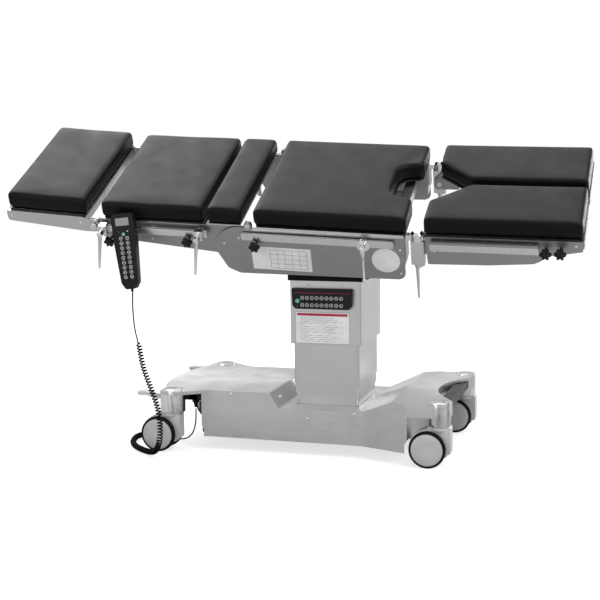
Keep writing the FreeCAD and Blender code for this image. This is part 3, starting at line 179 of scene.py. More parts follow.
def grid_faces(rows, columns, wrap_rows=False, wrap_columns=True):
    """Quads of a grid of points, row by row; a wrapped side joins its last line to its first."""
    r = np.arange(rows if wrap_rows else rows - 1)
    c = np.arange(columns if wrap_columns else columns - 1)
    r, c = np.meshgrid(r, c, indexing="ij")
    r2 = (r + 1) % rows
    c2 = (c + 1) % columns
    quads = np.stack([r * columns + c, r * columns + c2, r2 * columns + c2, r2 * columns + c], axis=-1)
    return [tuple(q) for q in quads.reshape(-1, 4).tolist()]


def lathe(profile, centre, axis, segments=48):
    """Points of a turned surface: radius r at height h along an axis, for the profile's pairs (r, h)."""
    profile = np.asarray(profile, float)
    angle = np.linspace(0, 2 * math.pi, segments, endpoint=False)
    around = {"x": (1, 2, 0), "y": (2, 0, 1), "z": (0, 1, 2)}[axis]
    points = np.zeros((len(profile), segments, 3))
    points[..., around[0]] = profile[:, :1] * np.cos(angle)
    points[..., around[1]] = profile[:, :1] * np.sin(angle)
    points[..., around[2]] = profile[:, 1:]
    return points + np.asarray(centre, float)


def rounded(corners, steps=6):
    """A closed outline through (u, v, radius) corners, each rounded by an arc about its own centre."""
    corners = [tuple(c) + (0.0,) * (3 - len(c)) for c in corners]
    count = len(corners)
    line = []
    for i, (u, v, radius) in enumerate(corners):
        here = np.array([u, v])
        back = np.array(corners[i - 1][:2]) - here
        ahead = np.array(corners[(i + 1) % count][:2]) - here
        back /= np.linalg.norm(back)
        ahead /= np.linalg.norm(ahead)
        if radius <= 0:
            line.append(here[None])
            continue
        half = math.acos(np.clip(back @ ahead, -1, 1)) / 2
        reach = radius / math.tan(half)
        bisector = (back + ahead) / np.linalg.norm(back + ahead)
        centre = here + bisector * radius / math.sin(half)
        first = here + back * reach - centre
        last = here + ahead * reach - centre
        sweep = np.linspace(0, 1, steps + 1)[:, None]
        angle = math.acos(np.clip(first @ last / radius**2, -1, 1))
        arc = (np.sin((1 - sweep) * angle) * first + np.sin(sweep * angle) * last) / math.sin(angle)
        line.append(centre + arc)
    return np.concatenate(line)


def slab(outline, low, high, plane="xz"):
    """A closed prism: the outline at two depths across its plane, with flat ends."""
    outline = np.asarray(outline, float)
    count = len(outline)
    points = np.zeros((2, count, 3))
    first, second, across = {"xy": (0, 1, 2), "xz": (0, 2, 1), "yz": (1, 2, 0)}[plane]
    points[..., first] = outline[:, 0]
    points[..., second] = outline[:, 1]
    points[0, :, across] = low
    points[1, :, across] = high
    faces = grid_faces(2, count)
    faces.append(tuple(range(count)))
    faces.append(tuple(range(2 * count - 1, count - 1, -1)))
    return points.reshape(-1, 3), faces


def round_rectangle(u, v, radius):
    """A closed rectangle outline over two spans, with round corners."""
    corners = [(u[0], v[0], radius), (u[1], v[0], radius), (u[1], v[1], radius), (u[0], v[1], radius)]
    return rounded(corners)


print("helpers ready")

# %% [markdown]
# The sheet metal is brushed along its length, so its shine is drawn out across the brushing. A noise
# that is stretched along one direction gives the strokes; the same group serves every brushed part.

# %% Shader groups


def new_group(name, inputs, outputs):
    """An empty shader node group with named inputs (name, kind, default) and outputs (name, kind)."""
    group = bpy.data.node_groups.new(name, "ShaderNodeTree")
    for label, kind, default in inputs:
        socket = group.interface.new_socket(label, in_out="INPUT", socket_type=kind)
        if default is not None:
            socket.default_value = default
    for label, kind in outputs:
        group.interface.new_socket(label, in_out="OUTPUT", socket_type=kind)
    entry = group.nodes.new("NodeGroupInput")
    leave = group.nodes.new("NodeGroupOutput")
    return group, entry, leave


def add(tree, kind, **settings):
    """A node with its settings."""
    node = tree.nodes.new(kind)
    for key, value in settings.items():
        setattr(node, key, value)
    return node


def brushed_group():
    """Fine strokes along X: a noise squeezed across the brushing, plus slow cloudy smudges."""
    group, entry, leave = new_group(
        "brushed_strokes",
        [("Stretch", "NodeSocketVector", (6.0, 400.0, 400.0)), ("Smudge Scale", "NodeSocketFloat", 9.0)],
        [("Strokes", "NodeSocketFloat"), ("Smudges", "NodeSocketFloat")],
    )
    place = add(group, "ShaderNodeTexCoord")
    squeeze = add(group, "ShaderNodeVectorMath", operation="MULTIPLY")
    group.links.new(place.outputs["Object"], squeeze.inputs[0])
    group.links.new(entry.outputs["Stretch"], squeeze.inputs[1])
    strokes = add(group, "ShaderNodeTexNoise")
    strokes.inputs["Scale"].default_value = 1.0
    strokes.inputs["Detail"].default_value = 3.0
    group.links.new(squeeze.outputs[0], strokes.inputs["Vector"])
    cloud = add(group, "ShaderNodeTexNoise")
    cloud.inputs["Detail"].default_value = 4.0
    cloud.inputs["Roughness"].default_value = 0.6
    group.links.new(place.outputs["Object"], cloud.inputs["Vector"])
    group.links.new(entry.outputs["Smudge Scale"], cloud.inputs["Scale"])
    group.links.new(strokes.outputs["Fac"], leave.inputs["Strokes"])
    group.links.new(cloud.outputs["Fac"], leave.inputs["Smudges"])
    return group


def grain_group():
    """Leather-like grain: cells of two sizes, raised between their creases."""
    group, entry, leave = new_group(
        "vinyl_grain",
        [("Scale", "NodeSocketFloat", 900.0)],
        [("Height", "NodeSocketFloat"), ("Variation", "NodeSocketFloat")],
    )
    place = add(group, "ShaderNodeTexCoord")
    cells = add(group, "ShaderNodeTexVoronoi", feature="F1")
    group.links.new(place.outputs["Object"], cells.inputs["Vector"])
    group.links.new(entry.outputs["Scale"], cells.inputs["Scale"])
    slow = add(group, "ShaderNodeTexNoise")
    slow.inputs["Scale"].default_value = 14.0
    slow.inputs["Detail"].default_value = 5.0
    group.links.new(place.outputs["Object"], slow.inputs["Vector"])
    group.links.new(cells.outputs["Distance"], leave.inputs["Height"])
    group.links.new(slow.outputs["Fac"], leave.inputs["Variation"])
    return group


def edge_group():
    """Edge mask for wear and for a painted edge highlight: how far the rounded normal turns from the flat one,
    broken up by noise.
    """
    group, entry, leave = new_group(
        "edge_highlight_and_wear",
        [("Radius", "NodeSocketFloat", 0.002), ("Amount", "NodeSocketFloat", 1.0)],
        [("Mask", "NodeSocketFloat")],
    )
    bevel = add(group, "ShaderNodeBevel", samples=4)
    group.links.new(entry.outputs["Radius"], bevel.inputs["Radius"])
    flat = add(group, "ShaderNodeNewGeometry")
    across = add(group, "ShaderNodeVectorMath", operation="DOT_PRODUCT")
    group.links.new(bevel.outputs["Normal"], across.inputs[0])
    group.links.new(flat.outputs["Normal"], across.inputs[1])
    spread = add(group, "ShaderNodeMapRange")
    spread.inputs["From Min"].default_value = 1.0
    spread.inputs["From Max"].default_value = 0.9
    group.links.new(across.outputs["Value"], spread.inputs["Value"])
    place = add(group, "ShaderNodeTexCoord")
    noise = add(group, "ShaderNodeTexNoise")
    noise.inputs["Scale"].default_value = 60.0
    group.links.new(place.outputs["Object"], noise.inputs["Vector"])
    broken = add(group, "ShaderNodeMath", operation="MULTIPLY")
    group.links.new(spread.outputs["Result"], broken.inputs[0])
    group.links.new(noise.outputs["Fac"], broken.inputs[1])
    scaled = add(group, "ShaderNodeMath", operation="MULTIPLY", use_clamp=True)
    group.links.new(broken.outputs[0], scaled.inputs[0])
    group.links.new(entry.outputs["Amount"], scaled.inputs[1])
    group.links.new(scaled.outputs[0], leave.inputs["Mask"])
    return group


BRUSHED = brushed_group()
GRAIN = grain_group()
EDGE_HIGHLIGHT_WEAR = edge_group()
print("groups", [g.name for g in bpy.data.node_groups])

# %% [markdown]
# Finishes. Each one is a Principled shader whose colour, roughness and bump come from the groups.

# %% Finishes


def base_material(name):
    """A material with a bare Principled shader."""
    material = bpy.data.materials.new(name)
    material.use_nodes = True
    shader = material.node_tree.nodes["Principled BSDF"]
    return material, material.node_tree, shader


def use_group(tree, group, **values):
    """Places a shader group and sets its inputs."""
    node = tree.nodes.new("ShaderNodeGroup")
    node.node_tree = group
    for key, value in values.items():
        node.inputs[key.replace("_", " ")].default_value = value
    return node


def spread(tree, source, low, high, start=0.3, stop=0.7):
    """A value that runs from low to high while the source runs from start to stop."""
    node = add(tree, "ShaderNodeMapRange")
    node.inputs["From Min"].default_value = start
    node.inputs["From Max"].default_value = stop
    node.inputs["To Min"].default_value = low
    node.inputs["To Max"].default_value = high
    tree.links.new(source, node.inputs["Value"])
    return node.outputs["Result"]


def blend_colours(tree, factor, first, second):
    """One colour turning into another as the factor rises."""
    node = add(tree, "ShaderNodeMix", data_type="RGBA")
    for socket, value in ((node.inputs[6], first), (node.inputs[7], second)):
        if isinstance(value, tuple):
            socket.default_value = (*value, 1.0)
        else:
            tree.links.new(value, socket)
    tree.links.new(factor, node.inputs[0])
    return node.outputs[2]


def eased_edges(tree, radius):
    """A normal that rounds off sharp edges in the shading."""
    node = add(tree, "ShaderNodeBevel", samples=4)
    node.inputs["Radius"].default_value = radius
    return node.outputs["Normal"]


def brushed_metal(name, light, dark, rough, stretch, metal=1.0, bump=0.15):
    """Brushed sheet: strokes change colour, roughness and height a little; edges are painted brighter, a
    painted highlight that also stands for wear.
    """
    material, tree, shader = base_material(name)
    strokes = use_group(tree, BRUSHED, Stretch=stretch)
    veil = blend_colours(tree, spread(tree, strokes.outputs["Smudges"], 0, 1, 0.35, 0.65), dark, light)
    colour = blend_colours(tree, spread(tree, strokes.outputs["Strokes"], 0, 1), veil, light)
    # Painted edge highlight, also standing for wear: the edges turn to a brighter colour.
    highlight_wear = use_group(tree, EDGE_HIGHLIGHT_WEAR, Radius=0.0015, Amount=0.8)
    highlight_wear_colour = tuple(min(1.0, c * 1.25) for c in light)
    with_highlight_wear = blend_colours(tree, highlight_wear.outputs["Mask"], colour, highlight_wear_colour)
    tree.links.new(with_highlight_wear, shader.inputs["Base Color"])
    smudged = spread(tree, strokes.outputs["Smudges"], rough - 0.06, rough + 0.08)
    tree.links.new(smudged, shader.inputs["Roughness"])
    shader.inputs["Metallic"].default_value = metal
    shader.inputs["Anisotropic"].default_value = 0.4
    relief = add(tree, "ShaderNodeBump")
    relief.inputs["Strength"].default_value = bump
    relief.inputs["Distance"].default_value = 0.0003
    tree.links.new(strokes.outputs["Strokes"], relief.inputs["Height"])
    tree.links.new(eased_edges(tree, 0.0012), relief.inputs["Normal"])
    tree.links.new(relief.outputs["Normal"], shader.inputs["Normal"])
    return material


def moulded(name, colour, rough, bump=0.1, metal=0.0, coat=0.0, fine=700.0, shine=0.5):
    """Moulded plastic, paint or rubber: a fine even texture, slow changes of sheen, and edges painted lighter
    as a painted highlight and wear.
    """
    material, tree, shader = base_material(name)
    grain = use_group(tree, GRAIN, Scale=fine)
    darker = tuple(c * 0.82 for c in colour)
    mixed = blend_colours(tree, spread(tree, grain.outputs["Variation"], 0, 1), darker, colour)
    # Painted edge highlight, also standing for wear: the edges turn to a lighter colour.
    highlight_wear = use_group(tree, EDGE_HIGHLIGHT_WEAR, Radius=0.0012, Amount=0.5)
    edge_highlight_wear_colour = tuple(min(1.0, c * 1.4 + 0.004) for c in colour)
    with_highlight_wear = blend_colours(tree, highlight_wear.outputs["Mask"], mixed, edge_highlight_wear_colour)
    tree.links.new(with_highlight_wear, shader.inputs["Base Color"])
    sheen = spread(tree, grain.outputs["Variation"], rough - 0.05, rough + 0.07)
    tree.links.new(sheen, shader.inputs["Roughness"])
    shader.inputs["Metallic"].default_value = metal
    shader.inputs["Specular IOR Level"].default_value = shine
    shader.inputs["Coat Weight"].default_value = coat
    relief = add(tree, "ShaderNodeBump")
    relief.inputs["Strength"].default_value = bump
    relief.inputs["Distance"].default_value = 0.0002
    tree.links.new(grain.outputs["Height"], relief.inputs["Height"])
    tree.links.new(eased_edges(tree, 0.0010), relief.inputs["Normal"])
    tree.links.new(relief.outputs["Normal"], shader.inputs["Normal"])
    return material


def upholstery(name, colour, rough):
    """Calendered vinyl: fine grain and a slow drift of sheen, as from wiping."""
    material, tree, shader = base_material(name)
    grain = use_group(tree, GRAIN, Scale=1300.0)
    wiped = spread(tree, grain.outputs["Variation"], 0, 1)
    mixed = blend_colours(tree, wiped, tuple(c * 0.8 for c in colour), colour)
    tree.links.new(mixed, shader.inputs["Base Color"])
    sheen = spread(tree, grain.outputs["Variation"], rough - 0.04, rough + 0.06)
    tree.links.new(sheen, shader.inputs["Roughness"])
    shader.inputs["Specular IOR Level"].default_value = 0.12
    shader.inputs["Sheen Weight"].default_value = 0.015
    shader.inputs["Sheen Roughness"].default_value = 0.4
    relief = add(tree, "ShaderNodeBump")
    relief.inputs["Strength"].default_value = 0.35
    relief.inputs["Distance"].default_value = 0.00025
    tree.links.new(grain.outputs["Height"], relief.inputs["Height"])
    tree.links.new(relief.outputs["Normal"], shader.inputs["Normal"])
    return material


def printed(name, colour, rough=0.35):
    """Ink or film on a label: an even colour with a faint mottle and a smooth finish."""
    return moulded(name, colour, rough, bump=0.02, fine=2500.0)


def grey(level, blue=0.0):
    """A neutral colour, or one with a touch more blue."""
    return (level, level, level + blue)


SHEET = brushed_metal(
    "satin_sheet", grey(0.37, 0.005), grey(0.33, 0.005), 0.42, (5.0, 300.0, 300.0), bump=0.10
)
DECK = brushed_metal("base_sheet", grey(0.64), grey(0.52), 0.42, (5.0, 260.0, 260.0), bump=0.04)
COLUMN = brushed_metal("column_sheet", grey(0.60), grey(0.565), 0.38, (260.0, 260.0, 4.0), bump=0.05)
BRIGHT = brushed_metal(
    "bright_steel", grey(0.72, 0.01), grey(0.64, 0.01), 0.25, (6.0, 200.0, 200.0), bump=0.05
)
FORMED = brushed_metal(
    "formed_steel", grey(0.56, 0.005), grey(0.50, 0.005), 0.32, (6.0, 220.0, 220.0), bump=0.06
)
CHROME = brushed_metal("chrome", grey(0.86, 0.01), grey(0.80, 0.01), 0.10, (40.0, 40.0, 4.0), bump=0.02)
# The bosses' strong light and dark upright bands are painted reflections of the surround on a turned cylinder,
# not brushing.
BOSS_REFLECTION_BANDS = brushed_metal("bosses_painted_reflection", grey(0.85), grey(0.30), 0.20, (55.0, 55.0, 0.6), bump=0.02)
DARK_PAINT = moulded("black_paint", (0.020, 0.020, 0.022), 0.45, shine=0.35)
BLACK_PLASTIC = moulded("black_plastic", (0.006, 0.006, 0.0065), 0.42, shine=0.25)
RUBBER = moulded("black_rubber", (0.0045, 0.0045, 0.0045), 0.62, bump=0.3, shine=0.12)
BOARD = moulded("board_laminate", (0.010, 0.010, 0.011), 0.35, shine=0.3)
VINYL = upholstery("cushion_vinyl", (0.0052, 0.0053, 0.0055), 0.42)
PALE_PLASTIC = moulded("pale_plastic", (0.66, 0.66, 0.66), 0.42, bump=0.05)
WHEEL_DISC = moulded("wheel_disc_plastic", (0.56, 0.56, 0.565), 0.35, bump=0.03)
HANDSET_PLASTIC = moulded("handset_plastic", (0.0065, 0.0068, 0.0085), 0.40, shine=0.18)
TEAL = moulded("teal_key", (0.16, 0.50, 0.45), 0.38, bump=0.02)
WHITE_INK = printed("white_ink", (0.86, 0.86, 0.86))
WHITE_FILM = printed("white_film", (0.90, 0.90, 0.91))
GREY_INK = printed("grey_ink", (0.06, 0.06, 0.065))
RED_INK = printed("red_ink", (0.50, 0.02, 0.05))
DISPLAY = printed("display_film", (0.30, 0.31, 0.32), 0.2)
print("materials", len(bpy.data.materials))

# %% [markdown]
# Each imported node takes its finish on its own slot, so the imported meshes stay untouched.

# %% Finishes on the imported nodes


def finish_node(name, material):
    """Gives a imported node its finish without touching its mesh."""
    slot = nodes[name].material_slots[0]
    slot.link = "OBJECT"
    slot.material = material


FINISH_GROUPS = [
    (DARK_PAINT, "base_frame control_box column_head"),
    (DECK, "base_cover"),
    (BOSS_REFLECTION_BANDS, "caster_bosses"),
    (COLUMN, "column_foot column_shell_lower column_shell_middle column_cover"),
    (RUBBER, "column_bellows handset_cord"),
    (BRIGHT, "lift_cylinder tilt_cross seat_rails back_rails rail_clamps ring_clamp"),
    (BRIGHT, "leg_knuckle_near leg_knuckle_far"),
    (CHROME, "lift_ram leg_posts ring_clamp_rod bridge_clamp_lever head_clamp_lever"),
    (BLACK_PLASTIC, "panel_housing handset_socket seat_knob back_knob head_knob"),
    (BLACK_PLASTIC, "leg_knob_inner_near leg_knob_outer_near leg_knob_inner_far leg_knob_outer_far"),
    (TEAL, "panel_power_key handset_key"),
    (HANDSET_PLASTIC, "handset_shell"),
    (SHEET, "seat_frame back_frame leg_frame_near leg_frame_far"),
    (FORMED, "head_frame bridge_frame"),
    (BOARD, "seat_board back_board"),
    (PALE_PLASTIC, "brake_pedals"),
]
FINISHES = {name: material for material, names in FINISH_GROUPS for name in names.split()}
for corner in ("fl", "rl", "fr", "rr"):
    FINISHES["caster_fork_" + corner] = PALE_PLASTIC
    FINISHES["caster_wheels_" + corner] = PALE_PLASTIC
for name in nodes:
    if "_cushion" in name:
        FINISHES[name] = VINYL
for name, material in FINISHES.items():
    finish_node(name, material)
print("unfinished", sorted(set(nodes) - set(FINISHES)))

# %% [markdown]
# The handset hangs on a curly cord. Its route is a few given points: straight down from the handset,
# a long slack bow to the floor, round behind the caster and up into a socket under the base. The curl
# winds about the smooth line of that route, closer where it lies on the floor and wider where it hangs.

# %% The curly cord
LEAD_POINTS = [
    (-0.6473, -0.331, 0.569),
    (-0.6475, -0.3335, 0.530),
    (-0.643, -0.340, 0.486),
    (-0.6345, -0.3495, 0.440),
]
CURL_POINTS = [
    (-0.622, -0.357, 0.404),
    (-0.612, -0.362, 0.378),
    (-0.599, -0.373, 0.322),
    (-0.572, -0.384, 0.262),
    (-0.546, -0.392, 0.206),
    (-0.531, -0.398, 0.160),
    (-0.525, -0.402, 0.112),
    (-0.527, -0.405, 0.062),
    (-0.545, -0.397, 0.023),
    (-0.579, -0.372, 0.0112),
    (-0.622, -0.343, 0.0112),
    (-0.665, -0.303, 0.0112),
    (-0.699, -0.251, 0.0112),
    (-0.716, -0.200, 0.0112),
    (-0.722, -0.160, 0.0112),
    (-0.712, -0.124, 0.0112),
    (-0.684, -0.106, 0.0112),
    (-0.650, -0.106, 0.0112),
]
TAIL_POINTS = [
    (-0.618, -0.116, 0.005),
    (-0.586, -0.130, 0.004),
    (-0.556, -0.141, 0.005),
    (-0.527, -0.147, 0.012),
    (-0.505, -0.151, 0.032),
    (-0.494, -0.152, 0.062),
    (-0.490, -0.152, 0.096),
    (-0.490, -0.152, 0.1307),
]
WIRE_DIAMETER = 0.0050
CURL_RADIUS = 0.0084
HANGING_PITCH = 0.0108
RESTING_PITCH = 0.0078
TURN_POINTS = 14


def nurbs(name, points, thickness=0.0):
    """A smooth open spline through the space between its control points, round in section if thick."""
    curve = bpy.data.curves.new(name, "CURVE")
    curve.dimensions = "3D"
    spline = curve.splines.new("NURBS")
    points = np.asarray(points, float)
    spline.points.add(len(points) - 1)
    spline.points.foreach_set("co", np.column_stack([points, np.ones(len(points))]).ravel())
    spline.order_u = 3
    spline.use_endpoint_u = True
    curve.resolution_u = 3 if thickness else 16
    curve.bevel_depth = thickness / 2
    curve.bevel_resolution = 2
    curve.use_fill_caps = bool(thickness)
    piece = bpy.data.objects.new(name, curve)
    bpy.context.collection.objects.link(piece)
    return piece


def line_of(piece):
    """The points of a bare curve's own line, in order."""
    bpy.context.view_layer.update()
    mesh = bpy.data.meshes.new_from_object(piece.evaluated_get(bpy.context.evaluated_depsgraph_get()))
    line = np.zeros(len(mesh.vertices) * 3)
    mesh.vertices.foreach_get("co", line)
    bpy.data.meshes.remove(mesh)
    return line.reshape(-1, 3)


def curl(line, start, stop):
    """Control points winding about a line from the point nearest start to the point nearest stop.

    The turn angle is 2 pi times the length over the pitch; the radius eases in and out over 20 mm.
    """
    nearest = [np.linalg.norm(line - np.asarray(p), axis=1).argmin() for p in (start, stop)]
    line = line[nearest[0] : nearest[1] + 1]
    along = np.concatenate([[0], np.cumsum(np.linalg.norm(np.diff(line, axis=0), axis=1))])
    fine = np.linspace(0, along[-1], 4000)
    centre = np.column_stack([np.interp(fine, along, line[:, k]) for k in range(3)])
    resting = np.clip((0.075 - centre[:, 2]) / 0.05, 0, 1)
    pitch = HANGING_PITCH + (RESTING_PITCH - HANGING_PITCH) * resting
    turns = np.concatenate([[0], np.cumsum(np.diff(fine) / pitch[1:])])
    steps = np.linspace(0, turns[-1], int(turns[-1] * TURN_POINTS))
    here = np.interp(steps, turns, fine)
    centre = np.column_stack([np.interp(here, along, line[:, k]) for k in range(3)])
    ahead = np.gradient(centre, axis=0)
    ahead /= np.linalg.norm(ahead, axis=1)[:, None]
    sideways = np.array([0.8, 0.6, 0.0]) - ahead * (ahead @ [0.8, 0.6, 0.0])[:, None]
    sideways /= np.linalg.norm(sideways, axis=1)[:, None]
    upward = np.cross(ahead, sideways)
    ease = np.clip(np.minimum(here, along[-1] - here) / 0.020, 0, 1)
    radius = (CURL_RADIUS * ease * ease * (3 - 2 * ease))[:, None]
    angle = (2 * math.pi * steps)[:, None]
    return centre + radius * (np.cos(angle) * sideways + np.sin(angle) * upward)


route = nurbs("cord_route", LEAD_POINTS + CURL_POINTS + TAIL_POINTS)
route_line = line_of(route)
bpy.data.objects.remove(route)
winding = curl(route_line, CURL_POINTS[0], CURL_POINTS[-1])
cord_points = np.concatenate([LEAD_POINTS, winding, TAIL_POINTS])
bare_cord = nurbs("bare_cord", cord_points)
CORD_LENGTH = round(float(np.linalg.norm(np.diff(line_of(bare_cord), axis=0), axis=1).sum()), 3)
bpy.data.objects.remove(bare_cord)
curly_cord = nurbs("curly_cord", cord_points, WIRE_DIAMETER)
curly_cord.data.materials.append(RUBBER)
print("route", len(route_line), "curl points", len(winding), "cord length", CORD_LENGTH)
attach(curly_cord, "base")
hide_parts("handset_cord")

# %% [markdown]
# The cushions are foam slabs in vinyl covers. Each starts as a slightly smaller slab, is remeshed into
# even quads and blown up like a bag, with its underside held by the board. A cap keeps the swelling to
# two millimetres, so the tops stay nearly flat and the rims go round.

# %% Cushions
BOARD_TOP = 0.133
HEAD_BOARD_TOP = 0.139
LEG_BOARD_TOP = 0.137
PAD_THICK = 0.060
PAD_HALF = 0.252
PAD_INSET = 0.0012
PAD_CORNER = 0.013
VOXEL = 0.006
SWELL_FRAMES = 20
EASING = 14


def mesh_points(mesh):
    """A mesh's points as one array."""
    points = np.zeros(len(mesh.vertices) * 3)
    mesh.vertices.foreach_get("co", points)
    return points.reshape(-1, 3)


def evaluated_mesh(piece):
    """A copy of a piece's mesh with its modifiers carried out."""
    bpy.context.view_layer.update()
    return bpy.data.meshes.new_from_object(piece.evaluated_get(bpy.context.evaluated_depsgraph_get()))


def swell(piece, pressure, cap, floor):
    """Blows a closed mesh up as cloth and returns its points, none moved further than the cap.

    Points within a voxel of the floor height are pinned. The moves are then evened out: each pass sets a
    point's move to the mean of its neighbours' moves, so the cover stays taut.
    """
    start = mesh_points(piece.data)
    held = piece.vertex_groups.new(name="held")
    held.add(np.nonzero(start[:, 2] < floor + VOXEL)[0].tolist(), 1.0, "REPLACE")
    cloth = piece.modifiers.new("cover", "CLOTH")
    cloth.settings.quality = 5
    cloth.settings.mass = 0.3
    cloth.settings.tension_stiffness = 25
    cloth.settings.compression_stiffness = 25
    cloth.settings.bending_stiffness = 12
    cloth.settings.use_pressure = True
    cloth.settings.uniform_pressure_force = pressure
    cloth.settings.vertex_group_mass = "held"
    cloth.settings.effector_weights.gravity = 0
    cloth.collision_settings.use_collision = False
    cloth.point_cache.frame_start = 1
    cloth.point_cache.frame_end = SWELL_FRAMES
    scene = bpy.context.scene
    for step in range(1, SWELL_FRAMES + 1):
        scene.frame_set(step)
    swollen = evaluated_mesh(piece)
    moved = mesh_points(swollen) - start
    bpy.data.meshes.remove(swollen)
    piece.modifiers.remove(cloth)
    piece.vertex_groups.remove(held)
    scene.frame_set(1)
    far = np.linalg.norm(moved, axis=1)[:, None]
    moved = moved * np.minimum(1, cap / np.maximum(far, 1e-9))
    edges = np.zeros(len(piece.data.edges) * 2, np.int32)
    piece.data.edges.foreach_get("vertices", edges)
    first, second = edges.reshape(-1, 2).T
    neighbours = np.bincount(edges, minlength=len(start))[:, None]
    for _ in range(EASING):
        total = np.zeros_like(moved)
        np.add.at(total, first, moved[second])
        np.add.at(total, second, moved[first])
        moved = total / neighbours
    return start + moved


def cushion(name, body, outline, low, place, stands_for, rim=0.0125, pressure=4.0, cap=0.0022):
    """A padded cushion over an outline, from its board up, set in its resting place."""
    points, faces = slab(outline, low + 0.0008, low + PAD_THICK - PAD_INSET, "xy")
    piece = make_piece(name, points, faces, None, VINYL, smooth=0)
    bevel = piece.modifiers.new("rim", "BEVEL")
    bevel.width = rim
    bevel.segments = 6
    bevel.limit_method = "ANGLE"
    bevel.angle_limit = math.radians(60)
    remesh = piece.modifiers.new("even", "REMESH")
    remesh.mode = "VOXEL"
    remesh.voxel_size = VOXEL
    even = evaluated_mesh(piece)
    piece.modifiers.clear()
    piece.data = even
    swollen = place(swell(piece, pressure, cap, low))
    even.vertices.foreach_set("co", swollen.ravel())
    even.update()
    even.shade_smooth()
    even_out = piece.modifiers.new("even_out", "SMOOTH")
    even_out.factor = 0.5
    even_out.iterations = 3
    finer = piece.modifiers.new("finer", "SUBSURF")
    finer.levels = 1
    finer.render_levels = 1
    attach(piece, body)
    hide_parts(stands_for)
    return piece


def pad_rectangle(left, right, corner=PAD_CORNER):
    """A cushion outline with four round corners, drawn in by the inset."""
    half = PAD_HALF - PAD_INSET
    left += PAD_INSET
    right -= PAD_INSET
    return round_rectangle((left, right), (-half, half), corner)


def seat_outline():
    """The seat cushion with the round bay in its leg end."""
    half = PAD_HALF - PAD_INSET
    left = -0.2235 + PAD_INSET
    right = 0.308 - PAD_INSET
    bay = 0.098 + PAD_INSET
    root = 0.322 - bay
    bend = 0.055
    lip = 0.020
    return rounded(
        [
            (left, -half, PAD_CORNER),
            (right, -half, PAD_CORNER),
            (right, -bay - 0.004, lip),
            (root, -bay, bend),
            (root, bay, bend),
            (right, bay + 0.004, lip),
            (right, half, PAD_CORNER),
            (left, half, PAD_CORNER),
        ],
        steps=12,
    )


def leg_outline(side):
    """One leg cushion: a long slab with its inner hinge corner cut away."""
    half = PAD_HALF - PAD_INSET
    inner = 0.013 + PAD_INSET
    left = 0.365 + PAD_INSET
    right = 0.883 - PAD_INSET
    line = rounded(
        [
            (left, -half, PAD_CORNER),
            (right, -half, PAD_CORNER),
            (right, -inner, 0.010),
            (0.493 + PAD_INSET, -inner, 0.010),
            (left, -0.125, PAD_CORNER),
        ]
    )
    return line if side < 0 else line[::-1] * [1, -1]


HEAD_SPAN = (-1.137, -0.836)
BACK_SPAN = (-0.778, -0.400)
BRIDGE_SPAN = (-0.388, -0.262)
cushion("seat_pad", "top", seat_outline(), BOARD_TOP, on_top, "seat_cushion")
cushion("back_pad", "back", pad_rectangle(*BACK_SPAN), BOARD_TOP, on_top, "back_cushion")
cushion("head_pad", "head", pad_rectangle(*HEAD_SPAN), HEAD_BOARD_TOP, on_head, "head_cushion")
for side, tag in ((-1, "near"), (1, "far")):
    outline = leg_outline(side)
    cushion("leg_pad_" + tag, "leaf_" + tag, outline, LEG_BOARD_TOP, on_leg, "leg_cushion_" + tag)
bridge_outline = pad_rectangle(*BRIDGE_SPAN, 0.014)
cushion("bridge_pad", "bridge", bridge_outline, BOARD_TOP, on_top, "bridge_cushion", rim=0.024)
print("cushions ready")

# %% [markdown]
# The boards under the head and leg cushions belong to steel frames in the model; a black laminate
# skin covers them here.

# %% Board skins
SKIN = 0.0004
BOARD_CORNER = 0.012
PLATE_TOP = 0.131


def skin_outline(left, right):
    """A board's outline, a little inside its cushion and a skin's thickness out."""
    half = PAD_HALF - 0.002 + SKIN
    left += 0.003 - SKIN
    right -= 0.003 - SKIN
    return round_rectangle((left, right), (-half, half), BOARD_CORNER)


points, faces = slab(skin_outline(*HEAD_SPAN), PLATE_TOP + SKIN, HEAD_BOARD_TOP, "xy")
make_piece("head_board_skin", on_head(points), faces, "head", BOARD)
for side, tag in ((-1, "near"), (1, "far")):
    centre = np.array([0.62, -0.135 * -side])
    line = (leg_outline(side) - centre) * 1.006 + centre
    points, faces = slab(line, PLATE_TOP + SKIN, LEG_BOARD_TOP, "xy")
    make_piece("leg_board_skin_" + tag, on_leg(points), faces, "leaf_" + tag, BOARD)
print("board skins ready")

# %% [markdown]
# Casters: each wheel is a pale disc in a thin black tyre, turned about its axle.

# %% Caster wheels


def mirrored(half):
    """A profile's lower half, then the same pairs upwards with their heights turned over."""
    half = np.asarray(half, float)
    return np.vstack([half, half[::-1] * [1, -1]])


TYRE = mirrored([(0.0550, -0.0112), (0.0578, -0.0120), (0.0605, -0.0104), (0.0621, -0.0070), (0.0625, -0.0030)])
DISC = mirrored([(0.0, -0.0116), (0.030, -0.0116), (0.0515, -0.0110), (0.0540, -0.0100), (0.0550, -0.0085)])
AXLE = mirrored([(0.0, -0.028), (0.008, -0.028)])


def turned(profile, centres, axis, segments=72, closed=False):
    """Points and faces of the same turned shape at several centres."""
    shape = lathe(profile, (0, 0, 0), axis, segments).reshape(-1, 3)
    quads = np.array(grid_faces(len(profile), segments, wrap_rows=closed))
    centres = np.asarray(centres, float).reshape(-1, 3)
    points = shape[None] + centres[:, None]
    shift = (np.arange(len(centres)) * len(shape))[:, None, None]
    faces = (quads[None] + shift).reshape(-1, 4)
    return points.reshape(-1, 3), [tuple(f) for f in faces.tolist()]


